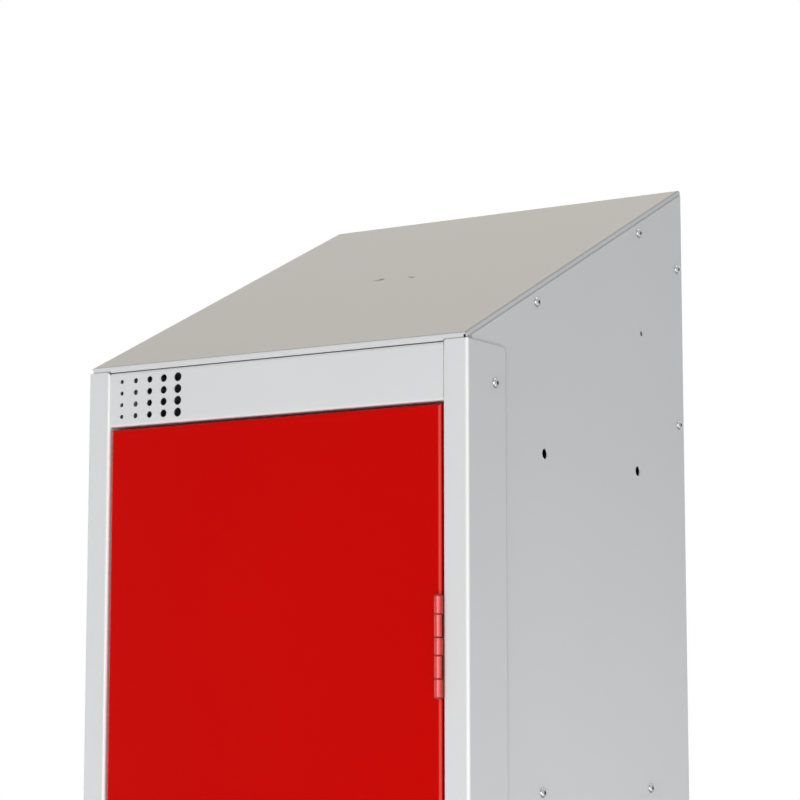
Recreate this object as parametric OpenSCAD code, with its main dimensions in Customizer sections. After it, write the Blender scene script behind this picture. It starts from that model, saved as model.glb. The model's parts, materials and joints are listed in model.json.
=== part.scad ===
// One-door steel locker with a sloping top, folded from sheet and riveted together.
// X runs across the front, Y runs from the front to the back and Z runs up from the floor.
// Sizes are in millimetres. The origin is on the floor, midway across the width and the depth.

/* [Cabinet] */
// Width over the front posts
locker_w = 305; // [260:1:460]
// Depth from the faces of the posts to the back
locker_d = 305; // [290:1:460]
// Height of the front posts
front_h = 1780; // [1650:1:1980]
// How much higher the back edge of the top is than the front posts
back_rise = 150; // [90:1:200]

/* [Sheet] */
// Thickness of the front posts
post_t = 1.0; // [0.8:0.1:1.4]
// Thickness of the header and bottom rail
rail_t = 0.8; // [0.7:0.1:1.4]
// Thickness of the side panels
side_t = 0.9; // [0.7:0.1:1.4]
// Thickness of the back panel
back_t = 0.8; // [0.6:0.1:1.2]
// Thickness of the sloping top
top_t = 1.0; // [0.8:0.1:1.3]
// Thickness of the shelf and the base pan
tray_t = 0.9; // [0.7:0.1:1.4]
// Thickness of the door skin
door_t = 0.9; // [0.7:0.1:1.3]
// Outer radius of a fold in the cabinet's sheet
fold_r = 2.4; // [1.5:0.1:2.8]

/* [Front posts] */
// Width of a post's face
post_face_w = 18.5; // [16:0.5:30]
// Depth of the flange that laps over the side panel
post_flange_d = 47.5; // [42:0.5:60]
// Width of the door stop behind the opening
stop_w = 10; // [8:0.5:12]
// Radius of the post's inner top corner
post_corner_r = 3.5; // [1:0.5:5]
// Radius of the flange's rear top corner
flange_corner_r = 4.5; // [1:0.5:6]
// Distance from the face of the posts to the front edge of a side panel
side_setback = 8.4; // [4:0.1:14]

/* [Header and bottom rail] */
// Height of the header
header_h = 37.6; // [36:0.1:60]
// Height of the bottom rail
bottom_rail_h = 60; // [50:1:90]
// How far the rails stand back from the posts' faces
rail_recess = 1.0; // [0.5:0.1:2]
// How far the header's top edge is below the tops of the posts
header_drop = 0.6; // [0.2:0.1:2]
// Depth of the fold along each rail's outer edge
rail_return = 14; // [8:0.5:16]

/* [Sloping top] */
// Height of the front lip above the posts
lip_h = 3.2; // [2.5:0.1:5]
// Gap between the front lip and the header
lip_seam = 0.2; // [0.1:0.1:0.4]
// Depth of the side flanges, square to the slope
top_flange_d = 17; // [15:0.5:24]
// Height of the rear flange
rear_flange_h = 22; // [16:1:40]
// Outer radius of the top's front and rear folds
top_fold_r = 1.6; // [1.4:0.1:2.4]
// Outer radius of the top's side folds
top_side_r = 1.4; // [1.3:0.1:2.4]
// How far the side panels stop below the slope, measured upright
side_reveal = 4.1; // [2:0.1:8]
// Width of the slits at the front corners of the top
relief_w = 1.9; // [0.8:0.1:2.4]
// Gap that the slits leave before the side flanges start
relief_gap = 0.6; // [0.4:0.1:1.2]

/* [Vents] */
// Columns of vent holes
vent_cols = 5; // [2:1:8]
// Rows of vent holes
vent_rows = 4; // [2:1:4]
// Distance between columns
vent_pitch_x = 12; // [8:0.5:14]
// Distance between rows
vent_pitch_z = 8; // [6.5:0.1:8.5]
// Distance from the cabinet's left face to the first column
vent_margin = 28.5; // [24:0.5:60]
// Distance from a rail's top edge to its first row
vent_drop = 6.75; // [5:0.25:8]
// Diameter of the smallest vent holes
vent_small_d = 2.9; // [1.5:0.1:3]
// Growth in diameter from each column to the next
vent_step_d = 0.8; // [0:0.01:0.8]

/* [Back panel] */
// Depth of the side flanges of the back panel
back_flange_d = 18; // [15:0.5:26]

/* [Shelf and base] */
// Height of the hat shelf's top face
shelf_z = 1506; // [1380:1:1560]
// Depth of the shelf's flanges
shelf_flange_h = 18; // [15:0.5:24]
// Distance from the posts' faces to the front of the shelf
shelf_setback = 33; // [28:0.5:60]
// Height of the compartment floor
base_floor_z = 52; // [46:0.5:52]
// Width of the feet folded under the base pan
foot_w = 20; // [12:0.5:40]
// Height of the base pan's front and rear flanges
base_flange_h = 16; // [10:0.5:30]
// Gap between a tray's corner notch and the flange it clears
notch_gap = 0.5; // [0.3:0.1:1.5]

/* [Door] */
// Depth of the door
door_depth = 18; // [16:0.5:22]
// How far the door's face stands back from the posts' faces
door_recess = 1.0; // [0.5:0.1:2]
// Gap above and below the door
door_gap = 1.7; // [1:0.1:3]
// Outer radius of the folds around the door's face
door_fold_r = 2.6; // [1.6:0.1:4]
// Outer radius of the folds at the back of the door
door_back_r = 1.6; // [1.4:0.1:2.4]
// Width of the rim folded in at the back of the door
door_rim_w = 15; // [12:0.5:17]
// Gap between the door's back and the door stops
stop_gap = 1.5; // [1.2:0.1:3]
// Clearance between the swinging door and the post on the lock side
swing_gap = 0.4; // [0.3:0.1:1.2]
// Width of the stiffener across its flanges
stiffener_w = 60; // [40:1:90]
// Depth of the stiffener
stiffener_d = 12; // [8:0.5:14]
// Distance from the stiffener's ends to the ends of the door
stiffener_end = 60; // [30:1:200]

/* [Hinges] */
// Height of a hinge
hinge_h = 63.5; // [50:0.5:100]
// Height of an end knuckle
end_knuckle_h = 11.8; // [8:0.1:13]
// Height of each of the two knuckles on the door's leaf
door_knuckle_h = 14.4; // [8:0.1:15]
// Gap between two knuckles
knuckle_gap = 0.4; // [0.2:0.1:1]
// Diameter of a knuckle
knuckle_d = 5; // [4.4:0.1:5.6]
// Diameter of the hinge pin
pin_d = 2.5; // [1.8:0.1:2.6]
// Radial clearance around the hinge pin
pin_fit = 0.05; // [0.02:0.01:0.1]
// Thickness of a hinge leaf
leaf_t = 1.0; // [0.8:0.1:1.1]
// Depth of a hinge leaf
leaf_d = 16; // [10:0.5:17]
// Gap between the two leaves of a closed hinge
leaf_gap = 0.2; // [0.1:0.1:0.6]
// Gap between the knuckles and the door's face
knuckle_clear = 0.3; // [0.2:0.1:1]
// Distance from an end of the door to the end of the hinge beside it
hinge_inset = 120.3; // [90:0.1:300]

/* [Lock] */
// Height of the lock above the floor
lock_z = 950; // [700:1:1200]
// Distance from the door's lock-side edge to the centre of the lock
lock_inset = 28; // [27:0.5:36]
// Diameter of the lock's front flange
bezel_d = 22; // [21:0.5:23]
// Thickness of the lock's front flange
bezel_t = 2; // [1.5:0.1:2.5]
// Diameter of the lock's body
lock_body_d = 18; // [16:0.5:18]
// Width across the flats of the lock's nut
lock_nut_w = 22; // [20.5:0.5:23]
// Thickness of the lock's nut
lock_nut_t = 4; // [3:0.5:6]
// Diameter of the turning plug
plug_d = 12; // [10:0.5:13]
// Radial clearance around the turning plug
plug_fit = 0.05; // [0.02:0.01:0.1]
// Reach of the cam from the lock's centre to its tip
cam_reach = 27; // [24:0.5:29]
// Width of the cam
cam_w = 15; // [12:0.5:16]
// Thickness of the cam
cam_t = 2; // [1.5:0.1:3]
// Gap between the cam and the door stop
cam_gap = 1.0; // [0.5:0.1:2]

/* [Rivets and holes] */
// Diameter of a rivet's head
rivet_head_d = 6.8; // [5:0.1:8]
// Height of a rivet's head
rivet_head_h = 2.1; // [0.8:0.1:2.5]
// Diameter of a rivet's shank
rivet_d = 3.2; // [3:0.1:4]
// Diameter of the hollow in a rivet's head
rivet_hollow_d = 1.9; // [1.2:0.1:2.2]
// Length of a rivet's closing head inside the cabinet
rivet_tail_h = 3; // [2:0.5:4]
// Diameter of a rivet's closing head inside the cabinet
rivet_tail_d = 4.8; // [4.4:0.1:5.4]
// Radial clearance around fixed shanks and studs
shank_fit = 0.05; // [0.02:0.01:0.1]
// Distance from the posts' faces to the front rivet of the top
top_rivet_y1 = 89.8; // [70:0.1:130]
// Distance from the posts' faces to the rear rivet of the top
top_rivet_y2 = 236.5; // [180:0.1:260]
// Distance from the slope down to the rivets of the top, measured upright
top_rivet_drop = 11.2; // [9:0.1:13]
// Distance from the posts' faces to the rivets of their flanges
post_rivet_y = 33.8; // [20:0.1:38]
// Distance from the back to the rivets of the back panel
back_rivet_inset = 8.7; // [7:0.1:11]
// Distance from the posts' tops down to the highest common row of rivets
rivet_row_drop = 25; // [20:1:60]
// Height of the lowest row of rivets
rivet_row_low = 62; // [60:1:90]
// Rows of rivets along the posts and the back
rivet_row_n = 4; // [2:1:6]
// Height above the posts' tops of the topmost rivet of the back panel
back_rivet_rise = 89; // [70:1:94]
// Distance from the posts' faces to the front rivets of the shelf and base
tray_rivet_y1 = 92.6; // [60:0.1:130]
// Distance from the posts' faces to the rear rivets of the shelf and base
tray_rivet_y2 = 244.2; // [180:0.1:260]
// Height of the base pan's rivets
base_rivet_z = 28; // [15:0.5:40]
// Diameter of the holes for bolting lockers side by side
nest_hole_d = 7; // [5:0.1:9]
// Distance from the posts' faces to the front nesting holes
nest_y = 99; // [70:0.5:130]
// Distance between the front and rear nesting holes
nest_pitch = 132; // [100:0.5:150]
// Distance from the posts' tops down to the upper nesting holes
nest_drop = 64; // [50:1:110]
// Height of the lower nesting holes
nest_low = 260; // [180:1:500]
// Diameter of the small hole above the nesting holes
small_hole_d = 3.8; // [2:0.1:5]
// Distance from the posts' faces to the small hole
small_hole_y = 239.2; // [200:0.1:250]
// Height of the small hole above the posts' tops
small_hole_rise = 34.3; // [20:0.1:50]

/* [Coat hook] */
// Diameter of the hook's wire
hook_wire_d = 5; // [4:0.1:6]
// Radius of each arm's bend, to the middle of the wire
hook_bend_r = 16; // [13:0.5:20]
// Length of the hook's stem
hook_stem_h = 26; // [20:1:40]
// Height of the hook's upturned tips
hook_tip_h = 7; // [3:0.5:10]
// Diameter of the balls on the tips
hook_ball_d = 8; // [6:0.1:9]
// Length of the hook's plate
hook_plate_w = 44; // [40:1:60]
// Width of the hook's plate
hook_plate_d = 18; // [14:1:24]
// Thickness of the hook's plate
hook_plate_t = 2; // [1.5:0.1:3]
// Distance between the two rivets of the hook's plate
hook_rivet_pitch = 28; // [24:0.5:30]

/* [Door buffers] */
// Diameter of a rubber buffer's head
buffer_head_d = 8; // [6:0.1:8]
// Diameter of a rubber buffer's stem
buffer_stem_d = 4; // [3:0.1:5]
// Gap between a buffer and the closed door
buffer_gap = 0.3; // [0.2:0.05:0.5]
// Diameter of the buffer's barb behind the door stop
buffer_barb_d = 6; // [5.4:0.1:7]
// Length of the buffer's barb
buffer_barb_h = 3; // [2:0.5:5]
// Distance from an end of the door to the buffer beside it
buffer_inset = 110; // [60:1:300]

/* [Hidden] */
$fn = 48;
// Straight facets in each fold
fold_steps = 6;
// How far a cutting shape passes through what it cuts
cut = 1;

// Paint and metal colours
grey_paint = [0.84, 0.85, 0.85];
top_paint = [0.75, 0.74, 0.72];
red_paint = [0.78, 0.04, 0.01];
bare_steel = [0.70, 0.70, 0.72];
chrome = [0.86, 0.86, 0.88];
rubber = [0.08, 0.08, 0.08];

// The cabinet's main planes
half_w = locker_w / 2;
open_half = half_w - post_face_w;
side_outer = half_w - post_t;
side_inner = side_outer - side_t;
back_outer = locker_d - top_t;
back_inner = back_outer - back_t;
stop_y = door_recess + door_depth + stop_gap;
stop_back_y = stop_y + post_t;
back_flange_y = back_outer - back_flange_d;

// The slope of the top
slope = (back_rise - lip_h) / locker_d;
slope_a = atan(slope);
top_half = side_inner;
lip_y = max(post_t, rail_recess);
header_top = front_h - header_drop;
header_bottom = header_top - header_h;
function slope_z(y) = front_h + lip_h + slope * y;

// The hinge axis, ahead of the door and just inside the post
knuckle_r = knuckle_d / 2;
bore_r = pin_d / 2 + pin_fit;
axis_x = open_half - knuckle_r;
axis_y = door_recess - knuckle_clear - knuckle_r;

// The door: the lock edge is where its rear corner clears the post by swing_gap
door_right = open_half - 2 * leaf_t - leaf_gap;
door_back_y = door_recess + door_depth;
swing_r = axis_x + open_half - swing_gap;
door_left = axis_x - sqrt(pow(swing_r, 2) - pow(door_back_y - axis_y, 2));
door_w = door_right - door_left;
door_x = (door_right + door_left) / 2;
door_z1 = bottom_rail_h + door_gap;
door_z2 = header_bottom - door_gap;
door_h = door_z2 - door_z1;

// The heights of the three hinges
hinge_z = [
    door_z2 - hinge_inset - hinge_h,
    (door_z1 + door_z2 - hinge_h) / 2,
    door_z1 + hinge_inset
];
mid_knuckle_h = hinge_h - 2 * end_knuckle_h - 2 * door_knuckle_h;
knuckle_h = [end_knuckle_h, door_knuckle_h, mid_knuckle_h, door_knuckle_h, end_knuckle_h];
function knuckle_z(i) = i == 0 ? 0 : knuckle_z(i - 1) + knuckle_h[i - 1];
pin_head_r = (pin_d / 2 + knuckle_r) / 2;
pin_head_h = 0.6;

// The lock
lock_x = door_left + lock_inset;
cam_y = stop_back_y + cam_gap;
housing_gap = 0.3;
bezel_y = door_recess - bezel_t;
housing_l = cam_y - housing_gap - bezel_y;
plug_rim = 1;
plug_head_d = plug_d + 2 * plug_rim;
plug_head_t = 1.1;
plug_head_gap = 0.1;
tenon_w = 6;
cam_bolt_d = 4;
cam_bolt_head_w = 8;
cam_bolt_head_t = 3;
key_slot_w = 1.6;
key_slot_h = 8;
key_slot_depth = 8;

// The origin, under the middle of everything from the knuckles to the back
origin_y = (locker_d + axis_y - knuckle_r) / 2;

// Rivet places as [y, z] on the side panels
rivet_row_high = front_h - rivet_row_drop;
rivet_rows = [
    for (i = [0:rivet_row_n - 1])
        rivet_row_low + i * (rivet_row_high - rivet_row_low) / (rivet_row_n - 1)
];
back_rivet_y = locker_d - back_rivet_inset;
top_spots = [for (y = [top_rivet_y1, top_rivet_y2]) [y, slope_z(y) - top_rivet_drop]];
post_spots = [for (z = rivet_rows) [post_rivet_y, z]];
back_spots = [for (z = concat(rivet_rows, front_h + back_rivet_rise)) [back_rivet_y, z]];
shelf_spots = [for (y = [tray_rivet_y1, tray_rivet_y2]) [y, shelf_z - shelf_flange_h / 2]];
base_spots = [for (y = [tray_rivet_y1, tray_rivet_y2]) [y, base_rivet_z]];
nest_spots = [for (y = [nest_y, nest_y + nest_pitch], z = [nest_low, front_h - nest_drop]) [y, z]];

// The hook hangs under the middle of the shelf
hook_y = (shelf_setback + back_inner) / 2;
hook_plate_z = shelf_z - tray_t - hook_plate_t;
hook_bend_z = hook_plate_z - hook_stem_h;

// The buffers sit in the door stop on the lock side
buffer_x = -open_half + stop_w / 2;
buffer_z = [door_z1 + buffer_inset, door_z2 - buffer_inset];

// The top's cutting planes reach well past the cabinet
top_reach = locker_d + back_rise;
top_low_z = front_h - rear_flange_h;
// Metal left between a corner slit and the inside of the sheet
slit_skin = 0.15;
hook_plate_r = 4;
stiffener_foot = 13;
stiffener_splay = 6;
cam_tip_w = 11;
cam_tip_r = 3;
cam_heel_r = 5;

// Directions and turns in a plane
function unit(v) = v / norm(v);
function left_of(u) = [-u.y, u.x];
function turn(u, v) = atan2(u.x * v.y - u.y * v.x, u.x * v.x + u.y * v.y);
function spin(v, a) = [v.x * cos(a) - v.y * sin(a), v.x * sin(a) + v.y * cos(a)];

// Arc of radius r that rounds corner b between directions u and v, drawn shift to its left
function arc(b, u, v, r, shift) =
    let (
        a = turn(u, v),
        start = b - u * r * tan(abs(a) / 2),
        centre = start + sign(a) * r * left_of(u),
        arm = (start - centre) / r
    )
    [for (k = [0:fold_steps]) centre + (r - sign(a) * shift) * spin(arm, a * k / fold_steps)];

// One edge of a folded strip: middle line p, folds of middle radius r, shift to the left
function strip_edge(p, r, shift) =
    let (n = len(p), first = unit(p[1] - p[0]), last = unit(p[n - 1] - p[n - 2]))
    concat(
        [p[0] + shift * left_of(first)],
        [for (i = [1:1:n - 2]) each arc(p[i], unit(p[i] - p[i - 1]), unit(p[i + 1] - p[i]), r, shift)],
        [p[n - 1] + shift * left_of(last)]
    );
function reversed(p) = [for (i = [len(p) - 1:-1:0]) p[i]];

// Outline of a strip of thickness t folded along p, with outer fold radius r
function strip(p, t, r) =
    concat(strip_edge(p, r - t / 2, t / 2), reversed(strip_edge(p, r - t / 2, -t / 2)));

// Outline with rounded corners, from points written as [x, y, corner radius]
function flat(q) = [q.x, q.y];
function rounded(p) =
    let (n = len(p), q = [for (v = p) flat(v)])
    [for (i = [0:n - 1])
        let (b = q[i], u = unit(b - q[(i + n - 1) % n]), v = unit(q[(i + 1) % n] - b))
        each p[i].z > 0 ? arc(b, u, v, p[i].z, 0) : [b]];

// Moves the cabinet from the posts' faces to the origin
module placed() translate([0, -origin_y, 0]) children();

// Extrudes a [y, z] outline across X, about the middle
module across(w) translate([-w / 2, 0, 0]) rotate([90, 0, 90]) linear_extrude(w) children();

// Extrudes an [x, z] outline along Y, from y1 to y2
module along(y1, y2) translate([0, y2, 0]) rotate([90, 0, 0]) linear_extrude(y2 - y1) children();

// Puts its children at spots on both sides, at distance x from the middle, facing outwards
module on_sides(spots, x) {
    for (side = [-1, 1], spot = spots)
        translate([side * x, spot.x, spot.y]) rotate([0, side * 90, 0]) children();
}

// Holes of diameter d at spots through both sides
module side_holes(spots, d) {
    on_sides(spots, side_inner)
        translate([0, 0, -rivet_tail_h]) cylinder(d = d, h = half_w - side_inner + rivet_tail_h + cut);
}

module rivet_holes(spots) side_holes(spots, rivet_d + 2 * shank_fit);

// Pop rivet with its head above z = 0, closed under a stack of sheets as thick as grip
module rivet(grip) {
    dome_r = (pow(rivet_head_d / 2, 2) + pow(rivet_head_h, 2)) / (2 * rivet_head_h);
    difference() {
        union() {
            intersection() {
                translate([0, 0, rivet_head_h - dome_r]) sphere(r = dome_r);
                cylinder(d = rivet_head_d, h = rivet_head_h);
            }
            translate([0, 0, -grip - cut / 2]) cylinder(d = rivet_d, h = grip + cut);
            translate([0, 0, -grip - rivet_tail_h]) cylinder(d = rivet_tail_d, h = rivet_tail_h);
        }
        translate([0, 0, -grip]) cylinder(d = rivet_hollow_d, h = grip + rivet_head_h + cut);
    }
}

// Cutter that rounds a square corner at the origin, for material below and to the left
module corner_cutter(r) {
    difference() {
        translate([-r, -r]) square(r + cut);
        translate([-r, -r]) circle(r = r);
    }
}

// Block with its face at z = 0, whose front edges are rounded by r and rear edges by back_r
module pan_block(w, d, h, r, back_r) {
    x = w / 2;
    intersection() {
        along(0, d) polygon(rounded([[-x, -h, back_r], [-x, 0, r], [x, 0, r], [x, -h, back_r]]));
        across(w) polygon(rounded([[0, -h, back_r], [0, 0, r], [d, 0, r], [d, -h, back_r]]));
    }
}

// Folded pan with its face at z = 0 and walls h deep
module open_pan(w, d, h, t, r) {
    difference() {
        pan_block(w, d, h, r, 0);
        translate([0, t, -t]) pan_block(w - 2 * t, d - 2 * t, h, r - t, 0);
    }
}

// The same with a rim folded in at the back of its walls
module rimmed_pan(w, d, h, t, r, back_r, rim) {
    difference() {
        pan_block(w, d, h, r, back_r);
        translate([0, t, -t]) pan_block(w - 2 * t, d - 2 * t, h - 2 * t, r - t, back_r - t);
        translate([rim - w / 2, rim, -h - cut]) cube([w - 2 * rim, d - 2 * rim, t + 2 * cut]);
    }
}

module both_sides() {
    children();
    mirror([1, 0, 0]) children();
}

// Right side panel: a flat sheet, cut to the slope
module side_sheet() {
    difference() {
        translate([side_inner, 0, 0]) rotate([90, 0, 90]) linear_extrude(side_t)
            polygon([
                [side_setback, 0],
                [back_outer, 0],
                [back_outer, slope_z(back_outer) - side_reveal],
                [side_setback, slope_z(side_setback) - side_reveal]
            ]);
        rivet_holes(concat(top_spots, post_spots, back_spots, shelf_spots, base_spots));
        side_holes(nest_spots, nest_hole_d);
        side_holes([[small_hole_y, front_h + small_hole_rise]], small_hole_d);
    }
}

module left_side_panel() color(grey_paint) placed() mirror([1, 0, 0]) side_sheet();

module right_side_panel() color(grey_paint) placed() side_sheet();

// Back panel: a wide channel whose flanges are riveted to the side panels
module back_panel() {
    x = side_inner - back_t / 2;
    y = back_outer - back_t / 2;
    path = [[-x, back_flange_y], [-x, y], [x, y], [x, back_flange_y]];
    sheet_top = slope_z(back_inner) - top_t / cos(slope_a) - top_fold_r;
    flange_top = slope_z(back_flange_y) - top_flange_d / cos(slope_a) - notch_gap;
    tongue_x = top_half - top_t - notch_gap;
    color(grey_paint) placed() difference() {
        linear_extrude(sheet_top) polygon(strip(path, back_t, fold_r));
        translate([-half_w, back_flange_y - cut, flange_top])
            cube([locker_w, back_inner - back_flange_y + cut, back_rise]);
        both_sides() translate([tongue_x, back_flange_y - cut, flange_top])
            cube([half_w - tongue_x, back_flange_d + 2 * cut, back_rise]);
        rivet_holes(back_spots);
    }
}

// Children are drawn with y up the slope and z square to it
module on_slope() translate([0, 0, slope_z(0)]) rotate([slope_a, 0, 0]) children();

// Solid under the slope, drawn in by inset, with ends rounded by r and sides by side_r
module slope_block(inset, r, side_r) {
    front_y = lip_y + inset;
    back_y = locker_d - inset;
    drop = inset / cos(slope_a);
    x = top_half - inset;
    intersection() {
        across(2 * x) polygon(rounded([
            [front_y, top_low_z - inset, 0],
            [back_y, top_low_z - inset, 0],
            [back_y, slope_z(back_y) - drop, r],
            [front_y, slope_z(front_y) - drop, r]
        ]));
        on_slope() along(-top_reach, top_reach)
            polygon(rounded([
                [-x, -top_reach, 0],
                [x, -top_reach, 0],
                [x, -inset, side_r],
                [-x, -inset, side_r]
            ]));
    }
}

// Slits under the sheet at the two front corners of the top, back to y
module corner_slits(y) {
    front_y = lip_y - cut;
    drop = (top_t + slit_skin) / cos(slope_a);
    both_sides() translate([top_half + cut / 2 - relief_w / 2, 0, 0]) across(relief_w + cut)
        polygon([
            [front_y, top_low_z - cut],
            [y, top_low_z - cut],
            [y, slope_z(y) - drop],
            [front_y, slope_z(front_y) - drop]
        ]);
}

// Sloping top: a shallow tray turned over, with a front lip and a rear flange
module sloping_top() {
    slit_y = lip_y + top_t + relief_gap;
    lip_z = header_top + lip_seam;
    color(top_paint) placed() difference() {
        intersection() {
            difference() {
                slope_block(0, top_fold_r, top_side_r);
                slope_block(top_t, top_fold_r - top_t, top_side_r - top_t);
            }
            union() {
                on_slope() translate([-half_w, -top_reach, -top_flange_d])
                    cube([locker_w, 2 * top_reach, top_flange_d + cut]);
                translate([-half_w, back_outer, slope_z(locker_d) - rear_flange_h])
                    cube([locker_w, top_t + cut, rear_flange_h + cut]);
            }
        }
        translate([-half_w, lip_y - cut, top_low_z - cut])
            cube([locker_w, slit_y - lip_y + cut, lip_z - top_low_z + cut]);
        corner_slits(slit_y);
        rivet_holes(top_spots);
    }
}

// Right front post: a flange over the side panel, the face, a return and the door stop
module post() {
    path = [
        [half_w - post_t / 2, post_flange_d],
        [half_w - post_t / 2, post_t / 2],
        [open_half + post_t / 2, post_t / 2],
        [open_half + post_t / 2, stop_y + post_t / 2],
        [open_half - stop_w, stop_y + post_t / 2]
    ];
    difference() {
        linear_extrude(front_h) polygon(strip(path, post_t, fold_r));
        translate([open_half, 0, front_h]) mirror([1, 0, 0]) along(-cut, stop_y) corner_cutter(post_corner_r);
        translate([half_w, post_flange_d, front_h]) across(4 * post_t) corner_cutter(flange_corner_r);
        rivet_holes(post_spots);
    }
}

module left_front_post() {
    color(grey_paint) placed() difference() {
        mirror([1, 0, 0]) post();
        for (z = buffer_z)
            translate([buffer_x, stop_y - cut, z]) rotate([-90, 0, 0])
                cylinder(d = buffer_stem_d + 2 * shank_fit, h = post_t + 2 * cut);
    }
}

module right_front_post() color(grey_paint) placed() post();

// Vent holes that grow from column to column, below a rail's top edge
module vents(top_z) {
    for (i = [0:vent_cols - 1], j = [0:vent_rows - 1]) {
        x = vent_margin - half_w + i * vent_pitch_x;
        z = top_z - vent_drop - j * vent_pitch_z;
        translate([x, rail_recess - cut, z]) rotate([-90, 0, 0])
            cylinder(d = vent_small_d + i * vent_step_d, h = rail_t + 2 * cut);
    }
}

// Rail between the posts, folded from its outer edge to the edge beside the door and its stop
module rail(outer, inner) {
    up = sign(outer - inner);
    path = [
        [rail_recess + rail_return, outer - up * rail_t / 2],
        [rail_recess + rail_t / 2, outer - up * rail_t / 2],
        [rail_recess + rail_t / 2, inner + up * rail_t / 2],
        [stop_back_y - rail_t / 2, inner + up * rail_t / 2],
        [stop_back_y - rail_t / 2, inner - up * stop_w]
    ];
    color(grey_paint) placed() difference() {
        across(2 * open_half) polygon(strip(path, rail_t, fold_r));
        both_sides() translate([open_half - stop_w - notch_gap, stop_y - notch_gap, -cut])
            cube([stop_w + notch_gap + cut, post_t + notch_gap + cut, front_h]);
        vents(max(outer, inner));
    }
}

module header_rail() rail(header_top, header_bottom);

module bottom_rail() rail(0, bottom_rail_h);

// Clears the flanges of the back panel at the rear corners of the shelf and the base pan
module rear_notches() {
    both_sides() translate([side_inner - fold_r - notch_gap, back_flange_y - notch_gap, -cut])
        cube([fold_r + notch_gap + cut, back_flange_d + notch_gap + cut, front_h]);
}

// Base pan: the compartment floor on two side walls that are folded in as feet
module base_pan() {
    depth = back_inner - stop_back_y;
    color(grey_paint) placed() difference() {
        translate([0, stop_back_y, base_floor_z])
            rimmed_pan(2 * side_inner, depth, base_floor_z, tray_t, fold_r, fold_r, foot_w);
        for (y = [stop_back_y - cut, back_inner - foot_w])
            translate([foot_w - side_inner, y, -cut])
                cube([2 * (side_inner - foot_w), foot_w + cut, base_floor_z - base_flange_h + cut]);
        rear_notches();
        rivet_holes(base_spots);
    }
}

module hat_shelf() {
    color(grey_paint) placed() difference() {
        translate([0, shelf_setback, shelf_z])
            open_pan(2 * side_inner, back_inner - shelf_setback, shelf_flange_h, tray_t, fold_r);
        rear_notches();
        rivet_holes(shelf_spots);
        hook_rivet_holes();
    }
}

module at_hook_rivets() {
    for (side = [-1, 1])
        translate([side * hook_rivet_pitch / 2, hook_y, shelf_z]) children();
}

module hook_rivet_holes() {
    at_hook_rivets() translate([0, 0, -tray_t - hook_plate_t - cut])
        cylinder(d = rivet_d + 2 * shank_fit, h = tray_t + hook_plate_t + 2 * cut);
}

// Double coat hook: a plate, a stem and two arms that curl up at its sides
module coat_hook() {
    color(bare_steel) placed() difference() {
        union() {
            translate([0, hook_y, hook_plate_z]) linear_extrude(hook_plate_t) polygon(rounded([
                [-hook_plate_w / 2, -hook_plate_d / 2, hook_plate_r],
                [hook_plate_w / 2, -hook_plate_d / 2, hook_plate_r],
                [hook_plate_w / 2, hook_plate_d / 2, hook_plate_r],
                [-hook_plate_w / 2, hook_plate_d / 2, hook_plate_r]
            ]));
            translate([0, hook_y, hook_bend_z])
                cylinder(d = hook_wire_d, h = hook_stem_h + hook_plate_t / 2);
            both_sides() translate([hook_bend_r, hook_y, hook_bend_z]) {
                rotate([-90, 0, 0]) rotate_extrude(angle = 180)
                    translate([hook_bend_r, 0]) circle(d = hook_wire_d);
                translate([hook_bend_r, 0, 0]) cylinder(d = hook_wire_d, h = hook_tip_h);
                translate([hook_bend_r, 0, hook_tip_h]) sphere(d = hook_ball_d);
            }
        }
        hook_rivet_holes();
    }
}

module coat_hook_rivets() color(bare_steel) placed() at_hook_rivets() rivet(tray_t + hook_plate_t);

// Push-in rubber buffers that the closed door meets
module door_buffers() {
    color(rubber) placed() for (z = buffer_z)
        translate([buffer_x, stop_y, z]) rotate([-90, 0, 0]) {
            head_t = stop_gap - buffer_gap;
            translate([0, 0, -head_t]) cylinder(d = buffer_head_d, h = head_t);
            translate([0, 0, -head_t / 2]) cylinder(d = buffer_stem_d, h = post_t + head_t);
            translate([0, 0, post_t]) cylinder(d1 = buffer_barb_d, d2 = buffer_stem_d / 2, h = buffer_barb_h);
        }
}

// Hinge leaf whose inner face is at x, with every second knuckle from the one given
module hinge_leaf(x, first) {
    web_d = door_recess - axis_y + cut;
    difference() {
        union() {
            translate([x, door_recess, 0]) cube([leaf_t, leaf_d, hinge_h]);
            for (i = [first:2:len(knuckle_h) - 1])
                translate([0, axis_y, knuckle_z(i) + knuckle_gap / 2]) {
                    translate([axis_x, 0, 0]) cylinder(r = knuckle_r, h = knuckle_h[i] - knuckle_gap);
                    translate([x, 0, 0]) cube([leaf_t, web_d, knuckle_h[i] - knuckle_gap]);
                }
        }
        translate([axis_x, axis_y, -cut]) cylinder(r = bore_r, h = hinge_h + 2 * cut);
    }
}

module frame_leaf(i) {
    color(red_paint) placed() translate([0, 0, hinge_z[i]]) hinge_leaf(open_half - leaf_t, 0);
}

module door_leaf(i) {
    color(red_paint) placed() translate([0, 0, hinge_z[i]]) hinge_leaf(door_right, 1);
}

// Hinge pin with a peened head over each end knuckle
module hinge_pin(i) {
    color(red_paint) placed() translate([axis_x, axis_y, hinge_z[i] + knuckle_gap / 2]) {
        length = hinge_h - knuckle_gap;
        translate([0, 0, -pin_head_h]) cylinder(d = pin_d, h = length + 2 * pin_head_h);
        for (z = [-pin_head_h, length]) translate([0, 0, z]) cylinder(r = pin_head_r, h = pin_head_h);
    }
}

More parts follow.
